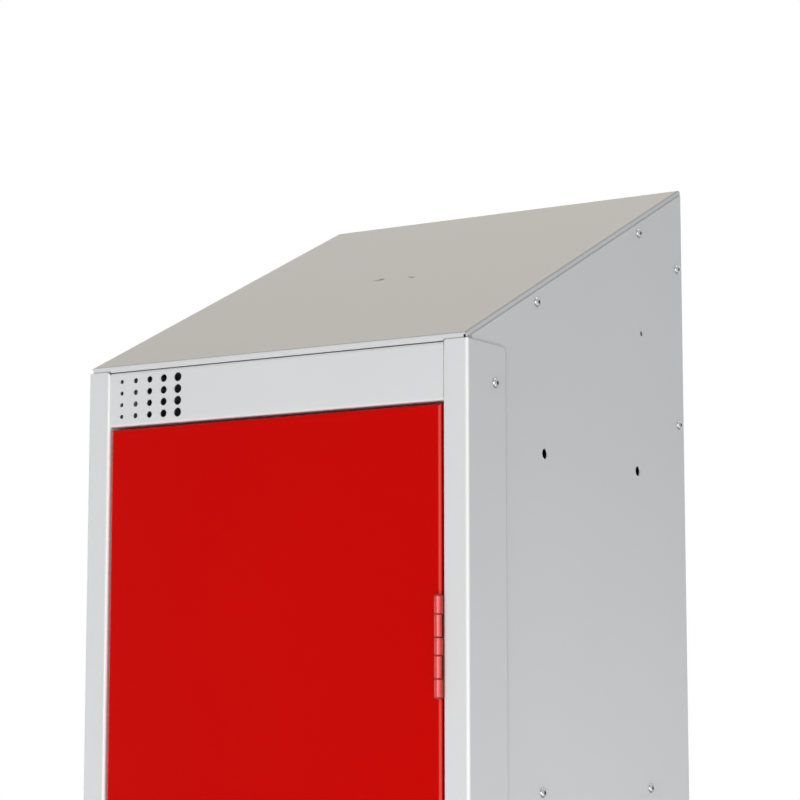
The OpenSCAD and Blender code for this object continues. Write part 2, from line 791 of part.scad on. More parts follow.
module hinge_frame_leaf_top() frame_leaf(0);
module hinge_frame_leaf_middle() frame_leaf(1);
module hinge_frame_leaf_bottom() frame_leaf(2);
module hinge_pin_top() hinge_pin(0);
module hinge_pin_middle() hinge_pin(1);
module hinge_pin_bottom() hinge_pin(2);
module hinge_door_leaf_top() door_leaf(0);
module hinge_door_leaf_middle() door_leaf(1);
module hinge_door_leaf_bottom() door_leaf(2);

module top_rivets() color(bare_steel) placed() on_sides(top_spots, side_outer) rivet(side_t + top_t);
module back_rivets() color(bare_steel) placed() on_sides(back_spots, side_outer) rivet(side_t + back_t);
module post_rivets() color(bare_steel) placed() on_sides(post_spots, half_w) rivet(post_t + side_t);
module shelf_rivets() color(bare_steel) placed() on_sides(shelf_spots, side_outer) rivet(side_t + tray_t);
module base_rivets() color(bare_steel) placed() on_sides(base_spots, side_outer) rivet(side_t + tray_t);

// Door: the skin, its four walls and the rim behind them, folded from one sheet
module door_panel() {
    color(red_paint) placed() difference() {
        translate([door_x, door_recess, door_z1]) rotate([90, 0, 0])
            rimmed_pan(door_w, door_h, door_depth, door_t, door_fold_r, door_back_r, door_rim_w);
        at_lock(door_recess - cut) cylinder(d = lock_body_d + 2 * shank_fit, h = door_t + 2 * cut);
    }
}

// Top-hat section behind the door's skin
module door_stiffener() {
    near = door_recess + door_t + door_t / 2;
    far = near + stiffener_d - door_t;
    edge = stiffener_w / 2;
    foot = edge - stiffener_foot;
    crown = foot - stiffener_splay;
    path = [[-edge, near], [-foot, near], [-crown, far], [crown, far], [foot, near], [edge, near]];
    color(red_paint) placed() translate([door_x, 0, door_z1 + stiffener_end])
        linear_extrude(door_h - 2 * stiffener_end) polygon(strip(path, door_t, fold_r));
}

// Children are drawn on the lock's axis, with z running back from y
module at_lock(y) translate([lock_x, y, lock_z]) rotate([-90, 0, 0]) children();

module lock_housing() {
    color(chrome) placed() difference() {
        union() {
            at_lock(bezel_y) cylinder(d1 = bezel_d - bezel_t, d2 = bezel_d, h = bezel_t / 2);
            at_lock(bezel_y + bezel_t / 2) cylinder(d = bezel_d, h = bezel_t / 2);
            at_lock(bezel_y + bezel_t / 2) cylinder(d = lock_body_d, h = housing_l - bezel_t / 2);
        }
        at_lock(bezel_y - cut) cylinder(r = plug_d / 2 + plug_fit, h = housing_l + 2 * cut);
        at_lock(bezel_y - cut)
            cylinder(r = plug_head_d / 2 + plug_fit, h = plug_head_t + plug_head_gap + cut);
    }
}

module lock_nut() {
    color(bare_steel) placed() difference() {
        at_lock(door_recess + door_t) cylinder(d = lock_nut_w / cos(30), h = lock_nut_t, $fn = 6);
        at_lock(door_recess + door_t - cut)
            cylinder(d = lock_body_d + 2 * shank_fit, h = lock_nut_t + 2 * cut);
    }
}

// Turning plug with its key slot upright, a tenon for the cam and a hole for the cam's bolt
module lock_plug() {
    color(chrome) placed() difference() {
        union() {
            at_lock(bezel_y) cylinder(d = plug_head_d, h = plug_head_t);
            at_lock(bezel_y) cylinder(d = plug_d, h = cam_y - bezel_y);
            at_lock(cam_y - cut) translate([-tenon_w / 2, -tenon_w / 2, 0])
                cube([tenon_w, tenon_w, cam_t + cut]);
        }
        at_lock(bezel_y - cut) translate([-key_slot_w / 2, -key_slot_h / 2, 0])
            cube([key_slot_w, key_slot_h, key_slot_depth + cut]);
        at_lock(cam_y - key_slot_depth)
            cylinder(d = cam_bolt_d + 2 * shank_fit, h = key_slot_depth + cam_t + cut);
    }
}

// Cam that points up when it is unlocked
module lock_cam() {
    hole_w = tenon_w + 2 * shank_fit;
    color(bare_steel) placed() at_lock(cam_y) linear_extrude(cam_t) difference() {
        polygon(rounded([
            [-cam_w / 2, cam_w / 2, cam_heel_r],
            [cam_w / 2, cam_w / 2, cam_heel_r],
            [cam_tip_w / 2, -cam_reach, cam_tip_r],
            [-cam_tip_w / 2, -cam_reach, cam_tip_r]
        ]));
        square(hole_w, center = true);
    }
}

module lock_cam_bolt() {
    color(bare_steel) placed() {
        at_lock(cam_y + cam_t) cylinder(d = cam_bolt_head_w / cos(30), h = cam_bolt_head_t, $fn = 6);
        at_lock(cam_y - key_slot_depth + plug_head_gap)
            cylinder(d = cam_bolt_d, h = key_slot_depth - plug_head_gap + cam_t + cam_bolt_head_t / 2);
    }
}

left_side_panel();
right_side_panel();
back_panel();
sloping_top();
left_front_post();
right_front_post();
header_rail();
bottom_rail();
base_pan();
hat_shelf();
coat_hook();
coat_hook_rivets();
door_buffers();
hinge_frame_leaf_top();
hinge_frame_leaf_middle();
hinge_frame_leaf_bottom();
hinge_pin_top();
hinge_pin_middle();
hinge_pin_bottom();
top_rivets();
back_rivets();
post_rivets();
shelf_rivets();
base_rivets();
door_panel();
door_stiffener();
hinge_door_leaf_top();
hinge_door_leaf_middle();
hinge_door_leaf_bottom();
lock_housing();
lock_nut();
lock_plug();
lock_cam();
lock_cam_bolt();
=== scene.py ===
"""Looks of a one-door steel locker with a sloping top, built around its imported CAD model.

Each folded sheet, hinge, lock and hook piece keeps its CAD shape and gets the finish of the real one.
The blind rivets are made again with Geometry Nodes, with the stem that a rivet gun leaves in them. The
file is laid out as an add-on and is run as a script: it loads the frame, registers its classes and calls
its operators.
"""
import json
import math

import bmesh
import bpy
from bpy.props import FloatProperty, FloatVectorProperty, IntProperty, PointerProperty
from bpy.types import Operator, Panel, PropertyGroup
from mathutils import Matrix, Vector

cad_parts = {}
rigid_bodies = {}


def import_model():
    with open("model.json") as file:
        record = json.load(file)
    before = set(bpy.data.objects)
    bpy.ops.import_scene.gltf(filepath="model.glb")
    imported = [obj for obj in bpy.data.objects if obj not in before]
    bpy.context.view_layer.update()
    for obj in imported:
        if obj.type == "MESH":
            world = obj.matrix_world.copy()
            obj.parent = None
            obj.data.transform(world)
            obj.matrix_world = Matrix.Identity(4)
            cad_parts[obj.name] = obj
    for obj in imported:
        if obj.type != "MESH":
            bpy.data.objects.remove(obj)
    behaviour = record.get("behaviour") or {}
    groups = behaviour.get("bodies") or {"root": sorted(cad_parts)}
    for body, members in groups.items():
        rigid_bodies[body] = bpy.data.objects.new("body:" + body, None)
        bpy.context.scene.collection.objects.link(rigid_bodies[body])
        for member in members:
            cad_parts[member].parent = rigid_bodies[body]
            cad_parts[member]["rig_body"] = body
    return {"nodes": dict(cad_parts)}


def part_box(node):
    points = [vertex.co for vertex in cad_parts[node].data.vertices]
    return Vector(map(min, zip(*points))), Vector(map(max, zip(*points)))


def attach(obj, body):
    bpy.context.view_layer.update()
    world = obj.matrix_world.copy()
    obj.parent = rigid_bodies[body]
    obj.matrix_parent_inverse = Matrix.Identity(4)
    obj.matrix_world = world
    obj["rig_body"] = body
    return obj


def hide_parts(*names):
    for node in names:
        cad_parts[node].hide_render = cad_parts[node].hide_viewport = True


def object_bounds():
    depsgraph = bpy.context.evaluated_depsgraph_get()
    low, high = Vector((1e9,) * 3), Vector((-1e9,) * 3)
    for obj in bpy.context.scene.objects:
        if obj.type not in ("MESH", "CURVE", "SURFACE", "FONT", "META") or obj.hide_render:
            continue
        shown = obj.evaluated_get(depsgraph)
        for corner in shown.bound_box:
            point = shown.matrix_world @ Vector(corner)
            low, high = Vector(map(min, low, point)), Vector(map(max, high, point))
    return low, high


bl_info = {
    "name": "Sloping-top locker",
    "version": (1, 0, 0),
    "blender": (4, 5, 0),
    "location": "3D View > Sidebar > Locker",
    "description": "Paint, metal finishes, blind rivets and a plain studio for a one-door steel locker",
    "category": "Object",
}

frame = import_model()
NODES = frame["nodes"]
CAD_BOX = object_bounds()
MM = 0.001
# Points of a CAD mesh, and of a rivet made here, that lie closer together than this are one point.
SAME_CAD_POINT = 0.001 * MM
SAME_RIVET_POINT = 0.002 * MM

# The sheet steel pieces that share the cabinet's grey paint.
GREY_SHEETS = (
    "left_side_panel", "right_side_panel", "back_panel", "left_front_post", "right_front_post",
    "header_rail", "bottom_rail", "base_pan", "hat_shelf",
)
HINGES = ("top", "middle", "bottom")
# Rivet nodes and the axis that their shanks lie along: 0 across the cabinet, 2 upright.
RIVET_AXES = {
    "top_rivets": 0, "back_rivets": 0, "post_rivets": 0, "shelf_rivets": 0, "base_rivets": 0,
    "coat_hook_rivets": 2,
}

# Radius of the upper rear corner of the posts' flanges, and width of the painted shade line along their
# edge.
FLANGE_CORNER = 4.5 * MM
SHADE_LINE = 0.6 * MM
# A face whose normal has a larger part than this in one direction counts as facing that way.
FACING = 0.98
# Sheets and rivets are shaded as round where two faces meet at less than these angles.
CRISP_FROM = math.radians(30)
RIVET_CRISP_FROM = math.radians(38)

# Lines in one bend of a rivet's outline.
BEND_STEPS = 10

# How much a millimetre across the cabinet, and one towards its back, counts along a dark mark and across
# it.
ALONG_MARK = (1.21, 0.80, 0.0)
ACROSS_MARK = (0.15, 0.46, 0.0)
# Two small dark marks on the slope, the first with a heavier end: middle in mm, half length, half width,
# rise at the far end, rise of both ends, and strength. The rises are shares of the half length.
DARK_MARKS = (
    ((-10.4, -2.3), 6.4, 0.90, 0.17, 0.03, 0.60),
    ((-9.1, -1.1), 3.4, 1.00, 0.15, 0.05, 0.85),
    ((18.4, -4.6), 4.0, 1.00, 0.02, 0.24, 0.62),
)

# A powder coat's thickness drifts over about this distance, its tone between these shares of its colour,
# and its roughness by this much up and down.
COAT_DRIFT = 180 * MM
THIN_COAT, THICK_COAT = 0.975, 1.015
ROUGHNESS_DRIFT = 0.03
# Colour of the painted shade lines and the dark marks, roughness of paint under dust, and roughness of the
# painted shade in the hinges' gaps.
SHADE_AND_MARKS = "#6F6D69"
DUSTY_ROUGHNESS = 0.65
GAP_SHADE_ROUGHNESS = 0.7
# Most of a noise lies between these values.
NOISE_RANGE = {"From Min": 0.25, "From Max": 0.75}
# A Mix node's sockets go by number, because its numbers and its colours have the same names.
SHARE, NUMBER_A, NUMBER_B, COLOUR_A, COLOUR_B = 0, 2, 3, 6, 7
MIXED_COLOUR = 2


def linear(code):
    """Turns an sRGB hex colour such as "#C8102E" into the linear values that Blender works in."""
    parts = [int(code[i:i + 2], 16) / 255 for i in (1, 3, 5)]
    return tuple(p / 12.92 if p <= 0.04045 else ((p + 0.055) / 1.055) ** 2.4 for p in parts)


def add(tree, kind, sockets=None, **settings):
    """Adds a node with its settings, and fills sockets, by name or number, with values or other outputs."""
    node = tree.nodes.new(kind)
    for name, value in settings.items():
        setattr(node, name, value)
    for name, value in (sockets or {}).items():
        if isinstance(value, bpy.types.NodeSocket):
            tree.links.new(value, node.inputs[name])
        else:
            node.inputs[name].default_value = value
    return node


def opaque(colour):
    """Gives a colour of three values the fourth that shader sockets need."""
    return (*colour[:3], 1.0)


def shaded(colour, amount):
    """Makes a colour lighter or darker by a factor."""
    return tuple(min(1.0, c * amount) for c in colour[:3])


# Settings


class LockerPaint(PropertyGroup):
    """Colours and grain of the cabinet's finishes."""
    body_colour: FloatVectorProperty(
        name="Cabinet grey", description="Paint on the posts, rails, sides, back, shelf and base",
        subtype="COLOR", size=3, min=0, max=1, default=linear("#D7D9DC"))
    # A painted highlight: the grey is painted lighter on the folds, where the light catches them.
    body_fold_highlight: FloatVectorProperty(
        name="Grey folds", description="The same paint where it is stretched thin and polished over a fold",
        subtype="COLOR", size=3, min=0, max=1, default=linear("#F1F3F4"))
    # Dust, and painted shade: the slope is painted darker and warmer than the upright faces.
    dust_and_shade_colour: FloatVectorProperty(
        name="Dusty slope", description="The same paint under the thin dust that settles on the slope",
        subtype="COLOR", size=3, min=0, max=1, default=linear("#CCC8C1"))
    door_colour: FloatVectorProperty(
        name="Door red", description="Paint on the door, its stiffener and the hinges",
        subtype="COLOR", size=3, min=0, max=1, default=linear("#C60400"))
    # A painted highlight: the red is painted lighter on the folds, where the light catches them.
    door_fold_highlight: FloatVectorProperty(
        name="Red folds", description="The same paint where it is polished over a fold",
        subtype="COLOR", size=3, min=0, max=1, default=linear("#EE4B46"))
    grain: FloatProperty(
        name="Paint grain", description="Width of the dimples in the powder coat",
        subtype="DISTANCE", unit="LENGTH", min=0.5 * MM, default=2.2 * MM)


class LockerRivets(PropertyGroup):
    """Sizes of the blind rivets. The head, shank and tail are the CAD model's, and the hole is wider."""
    head_width: FloatProperty(
        name="Head width", description="Diameter of the domed head",
        subtype="DISTANCE", unit="LENGTH", default=6.8 * MM)
    head_height: FloatProperty(
        name="Head height", description="Height of the domed head",
        subtype="DISTANCE", unit="LENGTH", default=2.1 * MM)
    hole_width: FloatProperty(
        name="Hole width", description="Diameter of the hole that the stem was pulled through",
        subtype="DISTANCE", unit="LENGTH", default=2.4 * MM)
    hole_depth: FloatProperty(
        name="Hole depth", description="Depth of the open hole in the head",
        subtype="DISTANCE", unit="LENGTH", default=2.0 * MM)
    shank_width: FloatProperty(
        name="Shank width", description="Diameter of the shank through the sheets",
        subtype="DISTANCE", unit="LENGTH", default=3.2 * MM)
    tail_width: FloatProperty(
        name="Tail width", description="Diameter of the bulb behind the sheets",
        subtype="DISTANCE", unit="LENGTH", default=4.8 * MM)
    tail_length: FloatProperty(
        name="Tail length", description="Length of the bulb behind the sheets",
        subtype="DISTANCE", unit="LENGTH", default=3.0 * MM)
    facets: IntProperty(
        name="Facets", description="Facets around a rivet", min=8, default=40)


class LockerStage(PropertyGroup):
    """Floor, lamps and camera."""
    floor_colour: FloatVectorProperty(
        name="Floor", description="Colour of the studio floor",
        subtype="COLOR", size=3, min=0, max=1, default=linear("#F2F2F1"))
    floor_radius: FloatProperty(
        name="Floor radius", description="Half the width of the floor",
        subtype="DISTANCE", unit="LENGTH", default=9.0)
    fade_from: FloatProperty(
        name="Fade from", description="How far from the object the floor starts to fade to white",
        subtype="DISTANCE", unit="LENGTH", default=0.8)
    fade_to: FloatProperty(
        name="Fade to", description="How far from the object the floor is white",
        subtype="DISTANCE", unit="LENGTH", default=3.0)
    ambient: FloatProperty(
        name="Room light", description="Level of the even light from all round", min=0, default=0.33)
    key_level: FloatProperty(
        name="Key level", description="Level of a white card that faces the key lamp",
        min=0, default=0.68)
    fill_level: FloatProperty(
        name="Fill level", description="Level of a white card that faces the fill lamp",
        min=0, default=0.04)
    side_level: FloatProperty(
        name="Side level", description="Level of a white card that faces the side lamp",
        min=0, default=0.2)
    top_level: FloatProperty(
        name="Top level", description="Level of a white card that faces the top lamp",
        min=0, default=0.345)
    back_level: FloatProperty(
        name="Back level", description="Level of a white card that faces the back lamp",
        min=0, default=0.45)
    camera_place: FloatVectorProperty(
        name="Camera", description="Where the camera stands",
        subtype="XYZ", unit="LENGTH", size=3, default=(0.948, -1.467, 1.538))
    camera_turn: FloatProperty(
        name="Camera turn", description="How far the camera is turned to the left of straight ahead",
        subtype="ANGLE", unit="ROTATION", default=math.radians(32.71))
    camera_rise: FloatProperty(
        name="Camera rise", description="How far the camera looks up from level",
        subtype="ANGLE", unit="ROTATION", default=math.radians(7.5))
    camera_lens: FloatProperty(
        name="Lens", description="Focal length on a sensor 36 mm wide",
        subtype="DISTANCE_CAMERA", unit="CAMERA", default=112.2)


# Finishes


def finish_tree(name):
    """Makes a material with an empty tree. Returns it, the tree and the place that patterns are read at."""
    material = bpy.data.materials.new(name)
    material.use_nodes = True
    material.node_tree.nodes.clear()
    place = add(material.node_tree, "ShaderNodeTexCoord").outputs["Object"]
    return material, material.node_tree, place


def close_tree(tree, sockets):
    """Ends a material's tree with its shader and output."""
    shader = add(tree, "ShaderNodeBsdfPrincipled", sockets)
    add(tree, "ShaderNodeOutputMaterial", {"Surface": shader.outputs["BSDF"]})


def size_of(tree, vector, part):
    """The size of one part of a vector, whichever way it points."""
    value = add(tree, "ShaderNodeSeparateXYZ", {0: vector}).outputs[part]
    return add(tree, "ShaderNodeMath", {0: value}, operation="ABSOLUTE").outputs[0]


def fold_highlight_share(tree, level_share):
    """Share of the painted fold highlight: one in the middle of an upright fold, a share of that on a level
    one, and nothing on flat sheet.
    """
    normal = add(tree, "ShaderNodeTexCoord").outputs["Normal"]
    squares = add(tree, "ShaderNodeVectorMath", {0: normal, 1: normal}, operation="MULTIPLY").outputs[0]
    part = add(tree, "ShaderNodeSeparateXYZ", {0: squares}).outputs
    sides = add(tree, "ShaderNodeMath", {
        0: part["Z"], 1: level_share, 2: part["X"]}, operation="MULTIPLY_ADD").outputs[0]
    product = add(tree, "ShaderNodeMath", {0: part["Y"], 1: sides}, operation="MULTIPLY").outputs[0]
    # The product is highest, a quarter, where an upright fold is turned by half a right angle.
    return add(tree, "ShaderNodeMapRange", {
        "Value": product, "From Min": 0.06, "From Max": 0.25}, interpolation_type="SMOOTHSTEP").outputs[0]


def powder_coat(name, colour, grain, roughness, specular, folds=None, level_share=1.0, marks=None):
    """Powder coat baked on sheet steel: an even colour whose orange peel breaks up the highlights."""
    material, tree, place = finish_tree(name)
    # The coat is a little thicker in some places, which shifts its tone and its gloss a little.
    cloud = add(tree, "ShaderNodeTexNoise", {
        "Vector": place, "Scale": 1 / COAT_DRIFT, "Detail": 1.0}).outputs["Fac"]
    thickness = add(tree, "ShaderNodeMapRange", {"Value": cloud, **NOISE_RANGE}).outputs[0]
    colour_out = add(tree, "ShaderNodeMix", {
        SHARE: thickness, COLOUR_A: opaque(shaded(colour, THIN_COAT)),
        COLOUR_B: opaque(shaded(colour, THICK_COAT)),
    }, data_type="RGBA").outputs[MIXED_COLOUR]
    gloss_out = add(tree, "ShaderNodeMapRange", {
        "Value": cloud, **NOISE_RANGE, "To Min": roughness - ROUGHNESS_DRIFT,
        "To Max": roughness + ROUGHNESS_DRIFT,
    }).outputs[0]
    # Real orange peel is 1 to 3 mm across, so the default grain just shows in the photo's own framing.
    peel = add(tree, "ShaderNodeTexNoise", {
        "Vector": place, "Scale": 1 / grain, "Detail": 2.0, "Roughness": 0.45}).outputs["Fac"]
    # Folds get a lighter colour: a painted highlight.
    if folds:
        colour_out = add(tree, "ShaderNodeMix", {
            SHARE: fold_highlight_share(tree, level_share), COLOUR_A: colour_out, COLOUR_B: opaque(folds),
        }, data_type="RGBA").outputs[MIXED_COLOUR]
    # Marks add dust, dark marks, and painted shade along edges and in gaps.
    if marks:
        colour_out, gloss_out = marks(tree, place, colour_out, gloss_out)
    bump = add(tree, "ShaderNodeBump", {"Height": peel, "Strength": 0.35, "Distance": 0.06 * MM})
    close_tree(tree, {
        "Base Color": colour_out, "Roughness": gloss_out, "Normal": bump.outputs[0],
        "Specular IOR Level": specular, "IOR": 1.5,
    })
    return material


def zinc_plate(name):
    """Bright zinc plating: grey metal with a faint crystal pattern and soft reflections."""
    material, tree, place = finish_tree(name)
    # Real crystals are a few tenths of a millimetre wide, so these are drawn coarser to show at all.
    crystals = add(tree, "ShaderNodeTexVoronoi", {
        "Vector": place, "Scale": 1 / (2.5 * MM)}).outputs["Distance"]
    shade = add(tree, "ShaderNodeMix", {
        SHARE: crystals, COLOUR_A: opaque(linear("#A9ABAC")), COLOUR_B: opaque(linear("#C4C6C7")),
    }, data_type="RGBA")
    soft = add(tree, "ShaderNodeMapRange", {"Value": crystals, "To Min": 0.30, "To Max": 0.42})
    bump = add(tree, "ShaderNodeBump", {"Height": crystals, "Strength": 0.1, "Distance": 0.02 * MM})
    close_tree(tree, {
        "Base Color": shade.outputs[MIXED_COLOUR], "Metallic": 1.0, "Roughness": soft.outputs[0],
        "Normal": bump.outputs[0],
    })
    return material


def bright_aluminium(name):
    """Bare aluminium of a rivet head: bright, with the fine scratches of the rivet gun's nose."""
    material, tree, place = finish_tree(name)
    # The widest scratches are half a millimetre across, and each step of detail halves that.
    scratches = add(tree, "ShaderNodeTexNoise", {
        "Vector": place, "Scale": 1 / (0.5 * MM), "Detail": 4.0}).outputs["Fac"]
    shade = add(tree, "ShaderNodeMix", {
        SHARE: scratches, COLOUR_A: opaque(linear("#8E8F92")), COLOUR_B: opaque(linear("#C6C7CA")),
    }, data_type="RGBA")
    soft = add(tree, "ShaderNodeMapRange", {
        "Value": scratches, "From Min": 0.3, "From Max": 0.7, "To Min": 0.15, "To Max": 0.22})
    bump = add(tree, "ShaderNodeBump", {"Height": scratches, "Strength": 0.12, "Distance": 0.02 * MM})
    close_tree(tree, {
        "Base Color": shade.outputs[MIXED_COLOUR], "Metallic": 1.0, "Roughness": soft.outputs[0],
        "Normal": bump.outputs[0],
    })
    return material


def broken_steel(name):
    """The broken end of a rivet's steel stem: dark and rough."""
    material, tree, place = finish_tree(name)
    # The grain of a torn wire is about a quarter of a millimetre.
    grit = add(tree, "ShaderNodeTexNoise", {
        "Vector": place, "Scale": 1 / (0.25 * MM), "Detail": 3.0}).outputs["Fac"]
    shade = add(tree, "ShaderNodeMix", {
        SHARE: grit, COLOUR_A: opaque(linear("#2E2F30")), COLOUR_B: opaque(linear("#5C5D5F")),
    }, data_type="RGBA")
    bump = add(tree, "ShaderNodeBump", {"Height": grit, "Strength": 0.6, "Distance": 0.05 * MM})
    close_tree(tree, {
        "Base Color": shade.outputs[MIXED_COLOUR], "Metallic": 1.0, "Roughness": 0.55,
        "Normal": bump.outputs[0],
    })
    return material


def chrome_plate(name):
    """Chrome plating on a die-cast lock: a mirror with slight haze and hairline scratches."""
    material, tree, place = finish_tree(name)
    # Real hairlines are a few hundredths of a millimetre wide. These are a tenth, which just shows.
    hairs = add(tree, "ShaderNodeMapping", {"Vector": place, "Scale": (1.0, 1.0, 14.0)}).outputs[0]
    lines = add(tree, "ShaderNodeTexNoise", {
        "Vector": hairs, "Scale": 1 / (1.5 * MM), "Detail": 4.0}).outputs["Fac"]
    haze = add(tree, "ShaderNodeMapRange", {
        "Value": lines, "From Min": 0.35, "From Max": 0.75, "To Min": 0.06, "To Max": 0.16})
    shade = add(tree, "ShaderNodeMix", {
        SHARE: lines, COLOUR_A: opaque(linear("#D2D3D5")), COLOUR_B: opaque(linear("#E4E5E7")),
    }, data_type="RGBA")
    close_tree(tree, {
        "Base Color": shade.outputs[MIXED_COLOUR], "Metallic": 1.0, "Roughness": haze.outputs[0]})
    return material


def moulded_rubber(name):
    """Moulded rubber of the door buffers: nearly black and dull, with a dusty bloom."""
    material, tree, place = finish_tree(name)
    # The bloom lies in patches a few millimetres wide.
    bloom = add(tree, "ShaderNodeTexNoise", {
        "Vector": place, "Scale": 1 / (3 * MM), "Detail": 4.0}).outputs["Fac"]
    shade = add(tree, "ShaderNodeMix", {
        SHARE: bloom, COLOUR_A: opaque(linear("#161617")), COLOUR_B: opaque(linear("#2A2A2B")),
    }, data_type="RGBA")
    bump = add(tree, "ShaderNodeBump", {"Height": bloom, "Strength": 0.3, "Distance": 0.05 * MM})
    close_tree(tree, {
        "Base Color": shade.outputs[MIXED_COLOUR], "Roughness": 0.78, "Specular IOR Level": 0.3,
        "Normal": bump.outputs[0],
    })
    return material


def paint_nodes(names, material):
    """Gives CAD nodes a finish in place of the plain one that they came with."""
    for name in names:
        for slot in NODES[name].material_slots:
            slot.material = material


def rounded_folds():
    """Builds the node tree that shades a sheet's folds as round and keeps its cut edges crisp."""
    tree = bpy.data.node_groups.new("Rounded folds", "GeometryNodeTree")
    tree.interface.new_socket("Geometry", in_out="INPUT", socket_type="NodeSocketGeometry")
    limit = tree.interface.new_socket("Crisp from", in_out="INPUT", socket_type="NodeSocketFloat")
    limit.subtype = "ANGLE"
    limit.default_value = CRISP_FROM
    tree.interface.new_socket("Geometry", in_out="OUTPUT", socket_type="NodeSocketGeometry")
    given = add(tree, "NodeGroupInput").outputs
    joined = add(tree, "GeometryNodeMergeByDistance", {
        "Geometry": given["Geometry"], "Distance": SAME_CAD_POINT})
    smooth = add(tree, "GeometryNodeSetShadeSmooth", {"Geometry": joined.outputs[0], "Shade Smooth": True})
    bend = add(tree, "GeometryNodeInputMeshEdgeAngle").outputs["Unsigned Angle"]
    corner = add(tree, "ShaderNodeMath", {
        0: bend, 1: given["Crisp from"]}, operation="GREATER_THAN").outputs[0]
    level = add(tree, "ShaderNodeMath", {0: bend, 1: given["Crisp from"]}, operation="LESS_THAN").outputs[0]
    soft = add(tree, "GeometryNodeSetShadeSmooth", {
        "Geometry": smooth.outputs[0], "Selection": level, "Shade Smooth": True}, domain="EDGE")
    crisp = add(tree, "GeometryNodeSetShadeSmooth", {
        "Geometry": soft.outputs[0], "Selection": corner, "Shade Smooth": False}, domain="EDGE")
    add(tree, "NodeGroupOutput", {"Geometry": crisp.outputs[0]})
    return tree


def round_folds(names):
    """Shades the folds of CAD sheets as round. Normals are weighted by area, so wide faces stay flat."""
    tree = bpy.data.node_groups.get("Rounded folds") or rounded_folds()
    for name in names:
        NODES[name].modifiers.new("Rounded folds", "NODES").node_group = tree
        weighted_normal = NODES[name].modifiers.new("Flat faces", "WEIGHTED_NORMAL")
        weighted_normal.keep_sharp = True
        weighted_normal.weight = 100


# Rivets


def rivet_seats(node, axis, sizes):
    """Finds each rivet of a CAD node: where its head sits, which way it faces and the sheets' thickness."""
    nearly_rim = 0.45 * sizes.head_width
    welded = bmesh.new()
    welded.from_mesh(NODES[node].data)
    bmesh.ops.remove_doubles(welded, verts=welded.verts, dist=SAME_CAD_POINT)
    seats = []
    seen = set()
    for first in welded.verts:
        if first in seen:
            continue
        seen.add(first)
        solid = [first]
        for corner in solid:
            for edge in corner.link_edges:
                other = edge.other_vert(corner)
                if other not in seen:
                    seen.add(other)
                    solid.append(other)
        low = Vector([min(v.co[i] for v in solid) for i in range(3)])
        high = Vector([max(v.co[i] for v in solid) for i in range(3)])
        middle = (low + high) / 2
        rim = [
            v.co for v in solid
            if (v.co - middle).length_squared - (v.co[axis] - middle[axis]) ** 2 > nearly_rim ** 2]
        faces_up = sum(c[axis] - middle[axis] for c in rim) > 0
        outward = Vector([0.0, 0.0, 0.0])
        outward[axis] = 1.0 if faces_up else -1.0
        seat = middle.copy()
        seat[axis] = (high[axis] - sizes.head_height) if faces_up else (low[axis] + sizes.head_height)
        grip = high[axis] - low[axis] - sizes.head_height - sizes.tail_length
        seats.append((seat, outward, grip))
    welded.free()
    return seats


def weighted(tree, terms):
    """Adds up sockets, each times a factor, and returns the sum's socket."""
    total = 0.0
    for socket, factor in terms:
        total = add(tree, "ShaderNodeMath", {
            0: socket, 1: factor, 2: total}, operation="MULTIPLY_ADD").outputs[0]
    return total


def rivet_outlines(tree, given):
    """Draws the outlines of a rivet's body and broken stem, which are turned about the rivet's axis."""

    def corner(across=(), up=()):
        """A point of an outline: its distance from the rivet's axis and its height above the seat."""
        return add(tree, "ShaderNodeCombineXYZ", {
            "X": weighted(tree, [(given[size], share) for size, share in across]),
            "Y": weighted(tree, [(given[size], -share) for size, share in up]),
        }).outputs[0]

    hole = [("Hole width", 0.5)]
    mouth = [("Hole width", 0.58)]
    crown = [("Head width", 0.42)]
    brim = [("Head width", 0.5)]
    brim_foot = [("Head width", 0.488)]
    shank = [("Shank width", 0.5)]
    bulge = [("Tail width", 0.66)]
    waist = [("Tail width", 0.40)]
    tip = [("Tail width", 0.28)]
    hole_floor = [("Head height", 1), ("Hole depth", -1)]
    mouth_foot = [("Head height", 0.94)]
    mouth_top = [("Head height", 1)]
    crown_height = [("Head height", 0.98)]
    brim_height = [("Head height", 0.22)]
    sheets_back = [("Grip", -1)]
    bulge_height = [("Grip", -1), ("Tail length", -0.3)]
    waist_height = [("Grip", -1), ("Tail length", -0.86)]
    tail_end = [("Grip", -1), ("Tail length", -1)]
    # A point's second value is where the line to the next point is bent towards, or None if it is straight.
    body = [
        (corner(up=hole_floor), None),
        (corner(hole, hole_floor), None),
        (corner(hole, mouth_foot), None),
        (corner(mouth, mouth_top), corner(crown, crown_height)),
        (corner(brim, brim_height), None),
        (corner(brim_foot), None),
        (corner(shank), None),
        (corner(shank, sheets_back), corner(bulge, bulge_height)),
        (corner(waist, waist_height), None),
        (corner(tip, tail_end), None),
        (corner(up=tail_end), None),
    ]
    # The stem breaks a little below the dome and leaves a small peak.
    stem_edge = [("Hole width", 0.44)]
    stem_peak = [("Head height", 1), ("Hole depth", -0.22)]
    stem_top = [("Head height", 1), ("Hole depth", -0.42)]
    stem_foot = [("Head height", 1), ("Hole depth", -0.96)]
    stem = [
        (corner(up=stem_peak), None),
        (corner(stem_edge, stem_top), None),
        (corner(stem_edge, stem_foot), None),
        (corner(up=stem_foot), None),
    ]
    return body, stem


